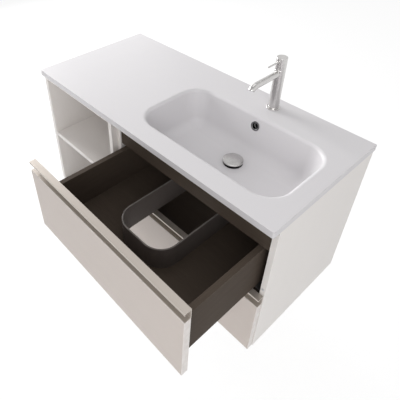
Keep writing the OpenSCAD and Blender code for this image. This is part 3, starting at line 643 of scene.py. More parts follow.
def rounded(corners: Sequence[Point], steps: int = 4) -> list[Pair]:
    """Rounds the corners of a profile.

    Args:
        corners: Two coordinates and the corner radius of each point.
        steps: Steps on each rounded corner.

    Returns:
        The profile's points.
    """
    made: list[Pair] = []
    for i, (x, y, radius) in enumerate(corners):
        here = Vector((x, y))
        before = Vector(corners[i - 1][:2]) - here
        after = Vector(corners[(i + 1) % len(corners)][:2]) - here
        if radius <= 0.0 or not before.length or not after.length:
            made.append((x, y))
            continue
        half = before.angle(after) / 2
        reach = min(radius / math.tan(half), before.length / 2, after.length / 2)
        radius = reach * math.tan(half)
        middle = here + (before.normalized() + after.normalized()).normalized() * (
            radius / math.sin(half))
        start = (here + before.normalized() * reach) - middle
        end = (here + after.normalized() * reach) - middle
        sweep = start.angle_signed(end)
        for k in range(steps + 1):
            spoke = start.copy()
            spoke.rotate(Matrix.Rotation(-sweep * k / steps, 2))
            made.append(tuple(middle + spoke))
    return made


def shift(x: float, y: float, z: float) -> Matrix:
    """Returns the move to a place in millimetres."""
    return Matrix.Translation(Vector((x, y, z)) * MM)


def tilt(x: float, y: float, z: float, degrees: float) -> Matrix:
    """Returns the move that turns a shape about X and takes it to a place in millimetres."""
    return shift(x, y, z) @ Matrix.Rotation(math.radians(degrees), 4, "X")


def moved(bm: Mesh, matrix: Matrix) -> Mesh:
    """Moves a mesh and returns it."""
    bmesh.ops.transform(bm, matrix=matrix, verts=bm.verts)
    return bm


def joined(parts: Iterable[Mesh]) -> Mesh:
    """Puts several meshes into one.

    Args:
        parts: The meshes, which are freed.

    Returns:
        The one mesh.
    """
    whole = bmesh.new()
    for part in parts:
        data = as_data(part)
        whole.from_mesh(data)
        bpy.data.meshes.remove(data)
    return whole


def cut(base: Mesh, tools: Sequence[Mesh], operation: str = "DIFFERENCE") -> Mesh:
    """Cuts closed meshes out of another, or joins them to it.

    Args:
        base: The mesh that is worked on, which is freed.
        tools: The meshes that cut or join it, which are freed.
        operation: The boolean's kind.

    Returns:
        The result.
    """
    body = placed("held", as_data(base))
    cutters = [placed("held", as_data(tool)) for tool in tools]
    for cutter in cutters:
        step = body.modifiers.new("cut", "BOOLEAN")
        step.operation = operation
        step.solver = "EXACT"
        step.object = cutter
    whole = welded(applied(body))
    for cutter in cutters:
        discard(cutter)
    return whole


def eased_copy(node: str, ease: float, steps: int = 2) -> Mesh:
    """Copies a CAD node's mesh and rounds its sharp edges.

    Args:
        node: The CAD node.
        ease: The width of the rounding, in millimetres.
        steps: Steps on the rounding.

    Returns:
        The copy, whose rounded faces carry the edge mask, where the painted edge highlight goes.
    """
    flat_below, sharp_from = math.radians(0.4), math.radians(40)
    bm = bmesh.new()
    bm.from_mesh(frame["nodes"][node].data)
    bmesh.ops.remove_doubles(bm, verts=bm.verts, dist=WELD)
    bmesh.ops.dissolve_limit(bm, angle_limit=flat_below, verts=bm.verts[:], edges=bm.edges[:])
    layer = bm.faces.layers.float.new(EDGE_LAYER)
    sharp = [line for line in bm.edges
             if len(line.link_faces) == 2 and line.calc_face_angle(0.0) > sharp_from]
    made = bmesh.ops.bevel(bm, geom=sharp, offset=ease * MM, segments=steps, profile=0.5,
                           affect="EDGES", clamp_overlap=False)
    for face in made["faces"]:
        face[layer] = 1.0
    bmesh.ops.dissolve_degenerate(bm, dist=WELD, edges=bm.edges[:])
    return bm


def dress_copies(
    word: str, eases: dict[str, float], axis: Axis = Axis.Z, finish: Finish | None = None,
    steps: int = 2,
) -> None:
    """Finishes the pieces whose shape is the CAD node's own with eased edges.

    Args:
        word: The last word of the pieces' names.
        eases: The width of the rounding on each CAD node, in millimetres.
        axis: The direction of their grain or brushing.
        finish: The finish, where it isn't the slot's own.
        steps: Steps on the rounding.
    """
    for node, ease in eases.items():
        publish(f"{node}_{word}", eased_copy(node, ease, steps), node, axis, finish)


# ------------------------------------------------------------------ geometry nodes


def make_ribs_tree() -> Tree:
    """Builds grip ribs: round-nosed bars that stand in a ring round Z.

    Returns:
        The tree, with the count, ring radius, rib radius and length as inputs.
    """
    t = GrowthTree("grip_ribs", {
        "Count": 24, "Ring radius": 0.02, "Rib radius": 0.001, "Length": 0.01, "Height": 0.0})
    ring = t.add("GeometryNodeMeshCircle", {
        "Vertices": t.source["Count"], "Radius": t.source["Ring radius"]})
    rib = t.add("GeometryNodeMeshCylinder", {
        "Radius": t.source["Rib radius"], "Depth": t.source["Length"], "Vertices": 8})
    height = t.add("ShaderNodeCombineXYZ", {"Z": t.source["Height"]})
    lifted = t.add("GeometryNodeSetPosition", {
        "Geometry": ring.outputs[0], "Offset": height.outputs[0]})
    stood = t.add("GeometryNodeInstanceOnPoints", {
        "Points": lifted.outputs[0], "Instance": rib.outputs["Mesh"]})
    return t.finish(stood.outputs[0])


def make_fastener_tree() -> Tree:
    """Builds fasteners: the given head on each point, turned to the point's facing.

    Returns:
        The tree, with the head's object as an input.
    """
    t = GrowthTree("fasteners_on_points", {"Head": "NodeSocketObject"})
    head = t.add("GeometryNodeObjectInfo", {"Object": t.source["Head"]})
    facing = t.add("GeometryNodeInputNamedAttribute", {"Name": "facing"},
                   data_type="FLOAT_VECTOR")
    turn = t.add("FunctionNodeAlignRotationToVector", {"Vector": facing.outputs[0]}, axis="Z")
    put = t.add("GeometryNodeInstanceOnPoints", {
        "Points": t.source["Geometry"], "Instance": head.outputs["Geometry"],
        "Rotation": turn.outputs[0]})
    return t.finish(put.outputs[0])


def make_hose_tree() -> Tree:
    """Builds a corrugated hose: a tube that follows a line and swells in even rings.

    Returns:
        The tree, with the radius, the rings' depth and pitch and the steps as inputs. It
        makes an open skin, which is given its wall afterwards.
    """
    t = GrowthTree("corrugated_hose", {
        "Radius": 0.009, "Depth": 0.001, "Pitch": 0.004, "Step": 0.0008})
    path = t.add("GeometryNodeMeshToCurve", {"Mesh": t.source["Geometry"]})
    even = t.add("GeometryNodeResampleCurve", {
        "Curve": path.outputs[0], "Length": t.source["Step"]}, mode="LENGTH")
    along = t.add("GeometryNodeSplineParameter").outputs["Length"]
    angle = t.math("MULTIPLY", t.math("DIVIDE", along, t.source["Pitch"]), 2 * math.pi)
    sunk = t.math("MULTIPLY_ADD", t.math("COSINE", angle), 0.5, -0.5)
    swell = t.math("MULTIPLY_ADD", sunk, t.source["Depth"], t.source["Radius"])
    ring = t.add("GeometryNodeCurvePrimitiveCircle", {"Resolution": 28, "Radius": 1.0})
    skin = t.add("GeometryNodeCurveToMesh", {
        "Curve": even.outputs[0], "Profile Curve": ring.outputs[0], "Scale": swell})
    return t.finish(skin.outputs[0])


RIBS_TREE = make_ribs_tree()
FASTENER_TREE = make_fastener_tree()
HOSE_TREE = make_hose_tree()


def grown(seed: bpy.types.Mesh, tree: Tree, values: dict[str, object]) -> Mesh:
    """Runs a Geometry Nodes tree on mesh data.

    Args:
        seed: The mesh data that the tree starts from, which is removed.
        tree: The tree.
        values: A value for each named input.

    Returns:
        The tree's result.
    """
    holder = placed("seed", seed)
    step = holder.modifiers.new("grow", "NODES")
    step.node_group = tree
    for item in tree.interface.items_tree:
        if item.item_type == "SOCKET" and item.in_out == "INPUT" and item.name in values:
            step[item.identifier] = values[item.name]
    return welded(applied(holder))


def ribs(count: int, ring_r: float, rib_r: float, low: float, high: float) -> Mesh:
    """Grows grip ribs round Z, with sizes in millimetres.

    Args:
        count: How many ribs.
        ring_r: Radius of the ring that their axes stand on.
        rib_r: Radius of a rib.
        low: Height of their lower ends.
        high: Height of their upper ends.

    Returns:
        The ribs.
    """
    return grown(bpy.data.meshes.new("seed"), RIBS_TREE, {
        "Count": count, "Ring radius": ring_r * MM, "Rib radius": rib_r * MM,
        "Length": (high - low) * MM, "Height": (high + low) / 2 * MM,
        "Material": GREY_PLASTIC.material()})


def fasteners(head: Mesh, places: Sequence[tuple[Point, Point]]) -> Mesh:
    """Sets a copy of a fastener on each place.

    Args:
        head: The fastener, made along +Z from its seat, which is freed.
        places: Where each stands, in millimetres, and the way that it points.

    Returns:
        All the fasteners.
    """
    points = bpy.data.meshes.new("places")
    points.from_pydata([tuple(c * MM for c in place) for place, _ in places], [], [])
    facing = points.attributes.new("facing", "FLOAT_VECTOR", "POINT")
    for i, (_, way) in enumerate(places):
        facing.data[i].vector = way
    shape = placed("head", as_data(head))
    made = grown(points, FASTENER_TREE, {"Head": shape, "Material": ZINC_STEEL.material()})
    discard(shape)
    return made


# ------------------------------------------------------------------ washbasin top


@dataclass
class WashbasinTop:
    """The cast top: a thin slab that rolls over into a deep bowl. Sizes in millimetres.

    The foot is the fillet between the bowl's outer face and the slab: how far down and how
    far out each of its rings lies.
    """

    left: float = -697.0
    right: float = 303.0
    depth: float = 460.0
    low: float = 260.0
    high: float = 280.0
    edge_r: float = 1.5
    corner_r: float = 6.0
    back_corner_r: float = 0.4
    bowl_x: float = 3.0
    bowl_y: float = -260.0
    bowl_l: float = 512.0
    bowl_w: float = 282.0
    bowl_h: float = 122.0
    bowl_corner_r: float = 78.0
    rim_r: float = 12.0
    rim_land: float = 9.0
    floor_r: float = 45.0
    lean: float = math.radians(14.0)
    wall: float = 10.0
    least_corner_r: float = 14.0
    fall: float = 2.5
    fall_run: float = 200.0
    fall_curve: float = 1.3
    flat_r: float = 36.0
    waste_y: float = -225.0
    waste_seat_r: float = 31.0
    waste_seat: Pair = (-2.5, 8.0)
    waste_hole_r: float = 22.5
    waste_hole: Pair = (-30.0, 8.0)
    tap_y: float = -55.0
    tap_hole_r: float = 17.5
    overflow_drop: float = 31.0
    overflow_r: float = 11.0
    boss_r: float = 15.0
    boss_span: Pair = (3.0, 16.0)
    foot: tuple[Pair, ...] = ((14.0, 0.0), (6.0, 0.0), (3.0, 1.0), (1.0, 3.0), (0.0, 6.0))
    wall_drops: tuple[float, ...] = (25.0, 45.0, 65.0)
    floor_shares: tuple[float, ...] = (0.12, 0.25, 0.38, 0.5, 0.6, 0.7, 0.8, 0.9, 0.96)
    corner_steps: int = 22
    long_steps: int = 16
    short_steps: int = 8
    edge_steps: int = 4
    rim_steps: int = 9
    arc_steps: int = 14
    past: float = 9.0

    def wall_inset(self, drop: float) -> float:
        """Returns how far the straight wall stands in from the rim, at a drop below the top."""
        below = drop - self.rim_r * (1 - math.sin(self.lean))
        return self.rim_r * math.cos(self.lean) + below * math.tan(self.lean)

    def outline(
        self, box: tuple[float, float, float, float], radii: Sequence[float], z: float
    ) -> list[Point]:
        """Draws a rectangle with rounded corners, with the same number of points each time.

        Args:
            box: Lowest and highest X, then lowest and highest Y, in millimetres.
            radii: Corner radii: back right, back left, front left and front right.
            z: The height.

        Returns:
            The points, in metres.
        """
        x0, x1, y0, y1 = box
        corners = [((x1 if sx > 0 else x0) - sx * r, (y1 if sy > 0 else y0) - sy * r, r)
                   for (sx, sy), r in zip(((1, 1), (-1, 1), (-1, -1), (1, -1)), radii)]
        made: list[Pair] = []
        for k, (cx, cy, r) in enumerate(corners):
            for i in range(self.corner_steps + 1):
                a = QUARTER * (k + i / self.corner_steps)
                made.append((cx + r * math.cos(a), cy + r * math.sin(a)))
            nx, ny, nr = corners[(k + 1) % 4]
            start = made[-1]
            end = (nx + nr * math.cos(a), ny + nr * math.sin(a))
            steps = self.short_steps if k % 2 else self.long_steps
            for i in range(1, steps + 1):
                t = i / (steps + 1)
                made.append((start[0] + (end[0] - start[0]) * t,
                             start[1] + (end[1] - start[1]) * t))
        return [(x * MM, y * MM, z * MM) for x, y in made]

    def slab_ring(self, a: float, level: float, up: float) -> list[Point]:
        """Draws the slab's outline on its rounded edge.

        Args:
            a: The angle reached on the rounding, from the flat face.
            level: The height of that face.
            up: 1 where the rounding rises from the face, -1 where it falls.

        Returns:
            The points, in metres.
        """
        inset = self.edge_r * (1 - math.sin(a))
        box = (self.left + inset, self.right - inset, -self.depth + inset, 0.0)
        radii = (self.back_corner_r,) * 2 + (self.corner_r - inset,) * 2
        return self.outline(box, radii, level + up * self.edge_r * (1 - math.cos(a)))

    def bowl_ring(self, inset: float, drop: float) -> list[Point]:
        """Draws the bowl's outline.

        Args:
            inset: How far it stands in from the rim.
            drop: How far it lies below the top.

        Returns:
            The points, in metres.
        """
        half_l, half_w = self.bowl_l / 2 - inset, self.bowl_w / 2 - inset
        box = (self.bowl_x - half_l, self.bowl_x + half_l,
               self.bowl_y - half_w, self.bowl_y + half_w)
        radius = max(self.bowl_corner_r - inset, self.least_corner_r)
        return self.outline(box, (radius,) * 4, self.high - drop)

    def rise(self, x: float, y: float) -> float:
        """Works out how far the bowl's floor stands above the waste.

        Args:
            x: The place across, in metres.
            y: The place along, in metres.

        Returns:
            The height, in metres.
        """
        out = math.hypot(x - self.bowl_x * MM, y - self.waste_y * MM) / MM
        share = (out - self.flat_r) / (self.fall_run - self.flat_r)
        return self.fall * MM * min(1.0, max(0.0, share)) ** self.fall_curve

    def to_waste(self, ring: Sequence[Point], falls: bool) -> list[list[Point]]:
        """Draws the floor in from its outer ring to the waste.

        Args:
            ring: The floor's outer ring.
            falls: Whether the floor falls towards the waste.

        Returns:
            The rings.
        """
        made = []
        cx, cy = self.bowl_x * MM, self.waste_y * MM
        low = min(z for _, _, z in ring)
        for t in self.floor_shares:
            row = [(x + (cx - x) * t, y + (cy - y) * t) for x, y, _ in ring]
            made.append([(x, y, low + (self.rise(x, y) if falls else 0.0)) for x, y in row])
        return made

    def underside(self, arc: Sequence[float], arc_drop: float, arc_r: float) -> list[list[Point]]:
        """Draws the bowl's outer face, from under the waste up to the slab.

        Args:
            arc: The angles on the rounding between floor and wall, from the wall.
            arc_drop: The drop of that rounding's centre.
            arc_r: The least radius of the bowl's corners at that centre.

        Returns:
            The rings.
        """
        outer_r = self.floor_r + self.wall
        outer = [self.bowl_ring(self.bowl_corner_r - arc_r - outer_r * math.cos(a),
                                arc_drop + outer_r * math.sin(a)) for a in reversed(arc)]
        rings = self.to_waste(outer[0], False)[::-1] + outer
        skin = self.wall / math.cos(self.lean)
        for down, out in self.foot:
            drop = self.high - self.low + down
            rings.append(self.bowl_ring(self.wall_inset(drop) - skin - out, drop))
        return rings

    def rings(self) -> list[list[Point]]:
        """Draws every ring of the top.

        Returns:
            The rings, from under the waste, round the slab's edge and into the bowl.
        """
        span = QUARTER - self.lean
        arc = [self.lean + span * i / self.arc_steps for i in range(self.arc_steps + 1)]
        arc_drop = self.bowl_h - self.floor_r
        arc_r = (self.bowl_corner_r
                 - self.wall_inset(arc_drop + self.floor_r * math.sin(self.lean))
                 - self.floor_r * math.cos(self.lean))
        rings = self.underside(arc, arc_drop, arc_r)
        edge = [QUARTER * i / self.edge_steps for i in range(self.edge_steps + 1)]
        rim = [span * i / self.rim_steps for i in range(self.rim_steps + 1)]
        rings += [self.slab_ring(a, self.low, 1) for a in edge]
        rings += [self.slab_ring(a, self.high, -1) for a in reversed(edge)]
        rings.append(self.bowl_ring(-self.rim_land, 0.0))
        rings += [self.bowl_ring(self.rim_r * math.sin(a), self.rim_r * (1 - math.cos(a)))
                  for a in rim]
        rings += [self.bowl_ring(self.wall_inset(drop), drop) for drop in self.wall_drops]
        for a in arc:
            share = ((a - self.lean) / span) ** 2
            ring = self.bowl_ring(self.bowl_corner_r - arc_r - self.floor_r * math.cos(a),
                                  arc_drop + self.floor_r * math.sin(a))
            rings.append([(x, y, z + share * self.rise(x, y)) for x, y, z in ring])
        return rings + self.to_waste(rings[-1], True)

    def overflow_seat(self) -> Matrix:
        """Works out where the overflow's fittings sit, square to the bowl's back wall.

        Returns:
            The move to the seat.
        """
        y = self.bowl_y + self.bowl_w / 2 - self.wall_inset(self.overflow_drop)
        return tilt(self.bowl_x, y, self.high - self.overflow_drop,
                    -90 - math.degrees(self.lean))

    def build(self) -> None:
        """Builds the top with its waste, tap and overflow holes."""
        at_overflow = self.overflow_seat()
        at_waste = shift(self.bowl_x, self.waste_y, self.high - self.bowl_h)
        at_tap = shift(self.bowl_x, self.tap_y, 0)
        boss = moved(cylinder(self.boss_r, *self.boss_span, 48), at_overflow)
        shell = cut(loft(self.rings()), [boss], "UNION")
        holes = [
            moved(cylinder(self.waste_seat_r, *self.waste_seat, 96), at_waste),
            moved(cylinder(self.waste_hole_r, *self.waste_hole, 72), at_waste),
            moved(cylinder(self.tap_hole_r, self.low - self.past, self.high + self.past), at_tap),
            moved(cylinder(self.overflow_r, -self.past, self.boss_span[1] + self.past),
                  at_overflow),
        ]
        publish("basin_top_cast", cut(shell, holes), "basin_top", Axis.X)


@dataclass
class OverflowFittings:
    """The overflow's trim ring, elbow and hose. Sizes in millimetres."""

    top: WashbasinTop
    hose_y: float = -111.4
    hose_top: float = 214.0
    collar_z: float = 132.0
    bend_r: float = 30.0
    bend_steps: int = 12
    hose_end_y: float = -189.0
    hose_r: float = 9.0
    hose_wall: float = 0.8
    ring_depth: float = 1.1
    ring_pitch: float = 3.6
    hose_step: float = 0.6

    def ring(self) -> None:
        """Builds the trim ring with its rolled flange."""
        profile = rounded([
            (9.5, 9.9, 0.2), (10.9, 9.9, 0.2), (10.9, -0.05, 0), (15.0, -0.05, 0.1),
            (15.0, -1.25, 0.9), (9.5, -1.25, 0.9)])
        publish("overflow_trim_ring", moved(lathe(profile, 64, True), self.top.overflow_seat()),
                "overflow_ring", finish=SHADED_CHROME)

    def hose(self) -> None:
        """Builds the corrugated hose along its bent path."""
        x, r = self.top.bowl_x, self.bend_r
        cy, cz = self.hose_y - r, self.collar_z + r
        bend = [QUARTER * i / self.bend_steps for i in range(1, self.bend_steps + 1)]
        points = [(x, self.hose_y, self.hose_top), (x, self.hose_y, cz),
                  *((x, cy + r * math.cos(a), cz - r * math.sin(a)) for a in bend),
                  (x, self.hose_end_y, self.collar_z)]
        line = bpy.data.meshes.new("path")
        line.from_pydata([Vector(p) * MM for p in points],
                         [(i, i + 1) for i in range(len(points) - 1)], [])
        made = grown(line, HOSE_TREE, {
            "Radius": self.hose_r * MM, "Depth": self.ring_depth * MM,
            "Pitch": self.ring_pitch * MM, "Step": self.hose_step * MM,
            "Material": GREY_PLASTIC.material()})
        bmesh.ops.solidify(made, geom=made.faces[:], thickness=self.hose_wall * MM)
        if made.calc_volume(signed=True) < 0:
            bmesh.ops.reverse_faces(made, faces=made.faces)
        publish("overflow_hose_corrugated", made, "overflow_hose")

    def build(self) -> None:
        """Builds the fittings."""
        self.ring()
        self.hose()
        # The elbow takes plastic blackened as painted shade, so the overflow hole shows dark.
        dress_copies("moulded", {"overflow_elbow": 0.3}, finish=ELBOW_PLASTIC_PAINTED_SHADE)


@dataclass
class WasteAndTrap:
    """The push-open waste and the bottle trap under the bowl. Sizes in millimetres."""

    x: float = 3.0
    y: float = -225.0
    cap_z: float = 165.3
    dome: float = 5.6
    dome_fall: float = 2.4
    dome_r: float = 30.2
    collar_z: float = 132.0
    inlet_nut_z: float = 82.0
    cup_z: float = -30.0
    branch_z: float = 48.0

    def cap(self) -> None:
        """Builds the domed cap with its neck and stem."""
        profile = [(0, -31.3), (2.6, -31.3), (3, -30.9), (3, -9.0), (7.6, -9.0), (8, -8.6),
                   (8, -0.6), (8.6, 0), (30.2, 0), (30.8, 0.3), (31, 0.9), (31, 2.4),
                   (30.8, 2.9), (30.2, 3.2)]
        profile += [(r, self.dome - self.dome_fall * (r / self.dome_r) ** 2)
                    for r in (27.0, 22.0, 16.0, 10.0, 5.0, 0.0)]
        publish("waste_cap_domed", moved(lathe(profile, 96), shift(self.x, self.y, self.cap_z)),
                "waste_cap")

    def ribbed(self, node: str, body: Mesh, grip: Mesh, z: float) -> None:
        """Finishes a moulding that has grip ribs.

        Args:
            node: The CAD node.
            body: The turned moulding.
            grip: Its ribs.
            z: The height of its foot.
        """
        publish(f"{node}_ribbed", moved(joined([body, grip]), shift(self.x, self.y, z)), node)

    def inlet_nut(self) -> None:
        """Builds the trap's inlet nut with its grip ribs."""
        body = lathe(rounded([
            (18.1, 0, 0), (26.0, 0, 0.8), (26.0, 20, 0.8), (21.1, 20, 0.3), (21.1, 6, 0),
            (18.1, 6, 0.2)]), 72, True)
        self.ribbed("trap_inlet_nut", body, ribs(32, 25.9, 1.05, 2.5, 17.5), self.inlet_nut_z)

    def cup(self) -> None:
        """Builds the trap's cup with its grip ribs."""
        body = lathe([
            (0, 0), (21, 0), (24.4, 0.7), (26.6, 2.4), (28.8, 5.0), (29.9, 8.0), (30.1, 12.0),
            (30.1, 56.8), (29.6, 57.7), (28.8, 58), (27.1, 58), (27.1, 3), (0, 3)], 84)
        self.ribbed("trap_cup", body, ribs(40, 30.0, 0.95, 34.0, 55.0), self.cup_z)

    def collar(self) -> None:
        """Builds the overflow collar: a ribbed ring with a hose nipple."""
        body = lathe(rounded([
            (21.1, -11, 0.3), (28.2, -11, 1.0), (28.2, 11, 1.0), (21.1, 11, 0.3), (21.1, 7, 0),
            (26, 7, 0), (26, -7, 0), (21.1, -7, 0)]), 72, True)
        nipple = lathe(rounded([
            (5.0, 27, 0), (6.8, 27, 0), (6.8, 36, 0.2), (6.3, 37.5, 0.2), (6.8, 38, 0.2),
            (6.3, 44, 0.2), (6.8, 44.5, 0.2), (6.3, 52, 0.3), (5.0, 52, 0.2)]), 40, True)
        body = joined([body, moved(nipple, tilt(0, 0, 0, -90))])
        self.ribbed("waste_collar", body, ribs(28, 28.1, 0.9, -9.0, 9.0), self.collar_z)

    def rosette(self) -> None:
        """Builds the wall rosette with its hollowed cone."""
        profile = rounded([
            (16.2, 0, 0), (32, 0, 0.1), (32, 2.2, 0.9), (27.5, 3.4, 5.0), (22.5, 6.6, 4.0),
            (20.6, 9, 0.8), (16.2, 9, 0.3)])
        publish("wall_rosette_spun",
                moved(lathe(profile, 80, True), tilt(self.x, 0, self.branch_z, 90)),
                "wall_rosette", Axis.Y)

    def build(self) -> None:
        """Builds the waste and the trap."""
        self.cap()
        self.inlet_nut()
        self.cup()
        self.collar()
        self.rosette()
        dress_copies("finished", {"waste_body": 0.35, "waste_nut": 0.6, "trap_body": 0.4,
                                  "trap_outlet_pipe": 0.2})


@dataclass
class Mixer:
    """The single-lever mixer. Heights in millimetres, counted from the slab.

    The spout's lip is how far back and how far in each of its rings lies.
    """

    x: float = 3.0
    y: float = -55.0
    z: float = 280.0
    body_r: float = 16.0
    ball_z: float = 122.75
    ball_r: float = 18.0
    ball_gap: float = 0.3
    spout_r: float = 9.5
    spout_wall: float = 1.5
    spout_z: float = 119.5
    spout_ys: tuple[float, ...] = (13.0, 30.0, 50.0, 70.0, 90.0, 104.0)
    spout_run: float = 109.6
    spout_bend: float = 24.0
    spout_turn: float = math.radians(50.0)
    spout_lip: tuple[Pair, ...] = ((0.35, 0.0), (0.1, 0.12), (0.0, 0.35))
    spout_steps: int = 16
    spout_facets: int = 64
    spout_seat: Pair = (5.0, 25.0)
    pin_r: float = 2.5
    pin_z: float = 158.5
    pin_seat: Pair = (1.0, 25.0)

    def place(self) -> Matrix:
        """Returns the move to the mixer's foot."""
        return shift(self.x, self.y, self.z)

    def dome(self, radius: float, from_r: float, to_r: float) -> list[Pair]:
        """Returns points on the ball between two distances from the axis."""
        return [(r, self.ball_z + math.sqrt(radius * radius - r * r))
                for r in (from_r + (to_r - from_r) * i / 8 for i in range(9))]

    def base_ring(self) -> None:
        """Builds the ring under the body."""
        profile = rounded([(14.1, 0, 0), (21, 0, 0.1), (21, 4, 1.1), (14.1, 4, 0.1)], 5)
        publish("mixer_base_ring_turned", moved(lathe(profile, 96, True), self.place()),
                "mixer_base_ring")

    def body(self) -> None:
        """Builds the body, with the ball that the cap moves on and the spout's seat."""
        profile = [(0, 12), (14.1, 12), (14.1, 4), (15.8, 4), (16, 4.3), (16, 40), (16, 80),
                   (16, 130.6), *self.dome(self.ball_r, 15.9, 8.6), (8.6, 125.75),
                   (11, 125.75), (11, 93.75), (0, 93.75)]
        seat = moved(cylinder(self.spout_r, *self.spout_seat), tilt(0, 0, self.spout_z, 90))
        publish("mixer_body_brushed", moved(cut(lathe(profile, 128), [seat]), self.place()),
                "mixer_body")

    def cap(self) -> None:
        """Builds the cap, hollowed for the ball, with the pin's hole."""
        hollow_r = self.ball_r + self.ball_gap
        profile = [(0, 150.5), (4, 150.5), *self.dome(hollow_r, 4.0, self.body_r),
                   (16, 132.0), (16, 150), (16, 168), (15.9, 168.5), (15.6, 168.85), (15.1, 169),
                   (9, 169), (0, 169)]
        hole = moved(cylinder(self.pin_r, *self.pin_seat, 40), tilt(0, 0, self.pin_z, 90))
        publish("mixer_cap_brushed", moved(cut(lathe(profile, 128), [hole]), self.place()),
                "mixer_cap")

    def pin(self) -> None:
        """Builds the lever pin with its domed end."""
        profile = [(0, 0), (2.5, 0), (2.5, 20), (2.5, 45), (2.5, 60.4), (2.35, 61.1), (1.9, 61.7),
                   (1.1, 62), (0, 62)]
        turn = self.place() @ tilt(0, 0, self.pin_z, 90)
        publish("lever_pin_turned", moved(lathe(profile, 40), turn), "lever_pin", Axis.Y)

    def spout_ring(self, station: Point, radius: float) -> list[Point]:
        """Draws a round of the spout.

        Args:
            station: The place along Y and Z, and the angle that the spout has turned down.
            radius: The round's radius.

        Returns:
            The points, in metres.
        """
        y, z, a = station
        turns = (2 * math.pi * k / self.spout_facets for k in range(self.spout_facets))
        return [(radius * math.cos(t) * MM, (y - radius * math.sin(t) * math.sin(a)) * MM,
                 (z + radius * math.sin(t) * math.cos(a)) * MM) for t in turns]

    def spout(self) -> None:
        """Builds the spout: a tube that runs forward and turns down at its end."""
        stations = [(-y, self.spout_z, 0.0) for y in self.spout_ys]
        for i in range(self.spout_steps + 1):
            a = self.spout_turn * i / self.spout_steps
            stations.append((-self.spout_run - self.spout_bend * math.sin(a),
                             self.spout_z - self.spout_bend * (1 - math.cos(a)), a))
        *run, (y, z, a) = stations
        bore = self.spout_r - self.spout_wall
        rings = [self.spout_ring(s, self.spout_r) for s in run]
        for back, inward in self.spout_lip:
            lip = (y + back * math.cos(a), z + back * math.sin(a), a)
            rings.append(self.spout_ring(lip, self.spout_r - inward))
        rings += [self.spout_ring(s, bore) for s in reversed(stations)]
        publish("mixer_spout_brushed", moved(loft(rings, closed=True), self.place()),
                "mixer_spout", Axis.Y)

    def build(self) -> None:
        """Builds the mixer."""
        self.base_ring()
        self.body()
        self.spout()
        self.cap()
        self.pin()
        dress_copies("finished", {
            "spout_aerator": 0.2, "mixer_shank": 0.4, "mixer_nut": 0.5, "mixer_cartridge": 0.2,
            "cartridge_turntable": 0.15, "cartridge_stem": 0.1})


# ------------------------------------------------------------------ cabinets


@dataclass(frozen=True)
class Board:
    """A board.

    Attributes:
        node: Its CAD node.
        grain: The axis that its grain follows.
        ease: The width of its rounded edges, in millimetres.
        end_highlight: How much the painted edge highlight shows on its two end faces.
    """

    node: str
    grain: Axis
    ease: float = 0.5
    end_highlight: float = 0.0

    def build(self) -> None:
        """Builds the board with eased edges, and paints a highlight on its two end faces, which
        face along X.
        """
        end_facing = 0.9
        bm = eased_copy(self.node, self.ease, 3)
        layer = bm.faces.layers.float[EDGE_LAYER]
        # Painted highlight on both end faces, which face along X.
        for face in bm.faces:
            if abs(face.normal.x) > end_facing:
                face[layer] = max(face[layer], self.end_highlight)
        publish(f"{self.node}_board", bm, self.node, self.grain)


@dataclass
class OpenShelfUnit:
    """The open unit on the left, with its shelf on four pins. Sizes in millimetres."""

    boards: tuple[Board, ...] = (
        Board("open_unit_left_side", Axis.Z), Board("open_unit_right_side", Axis.Z),
        Board("open_unit_top", Axis.X), Board("open_unit_bottom", Axis.X),
        Board("open_unit_back", Axis.Z), Board("open_unit_shelf", Axis.X),
    )
    inner_sides: Pair = (-678.0, -316.0)
    pin_in: float = 8.0
    pin_ys: Pair = (-400.0, -80.0)
    pin_z: float = -8.5

    def build(self) -> None:
        """Builds the boards and sets the four shelf pins."""
        for board in self.boards:
            board.build()
        pin = lathe([(0, 0), (2.2, 0), (2.5, 0.4), (2.5, 7.6), (2.5, 15.2), (2.2, 15.8), (0, 16)],
                    32)
        places = [((x - way * self.pin_in, y, self.pin_z), (way, 0.0, 0.0))
                  for x, way in zip(self.inner_sides, (1.0, -1.0)) for y in self.pin_ys]
        publish("shelf_pins_set", fasteners(pin, places), "shelf_pins", Axis.X)


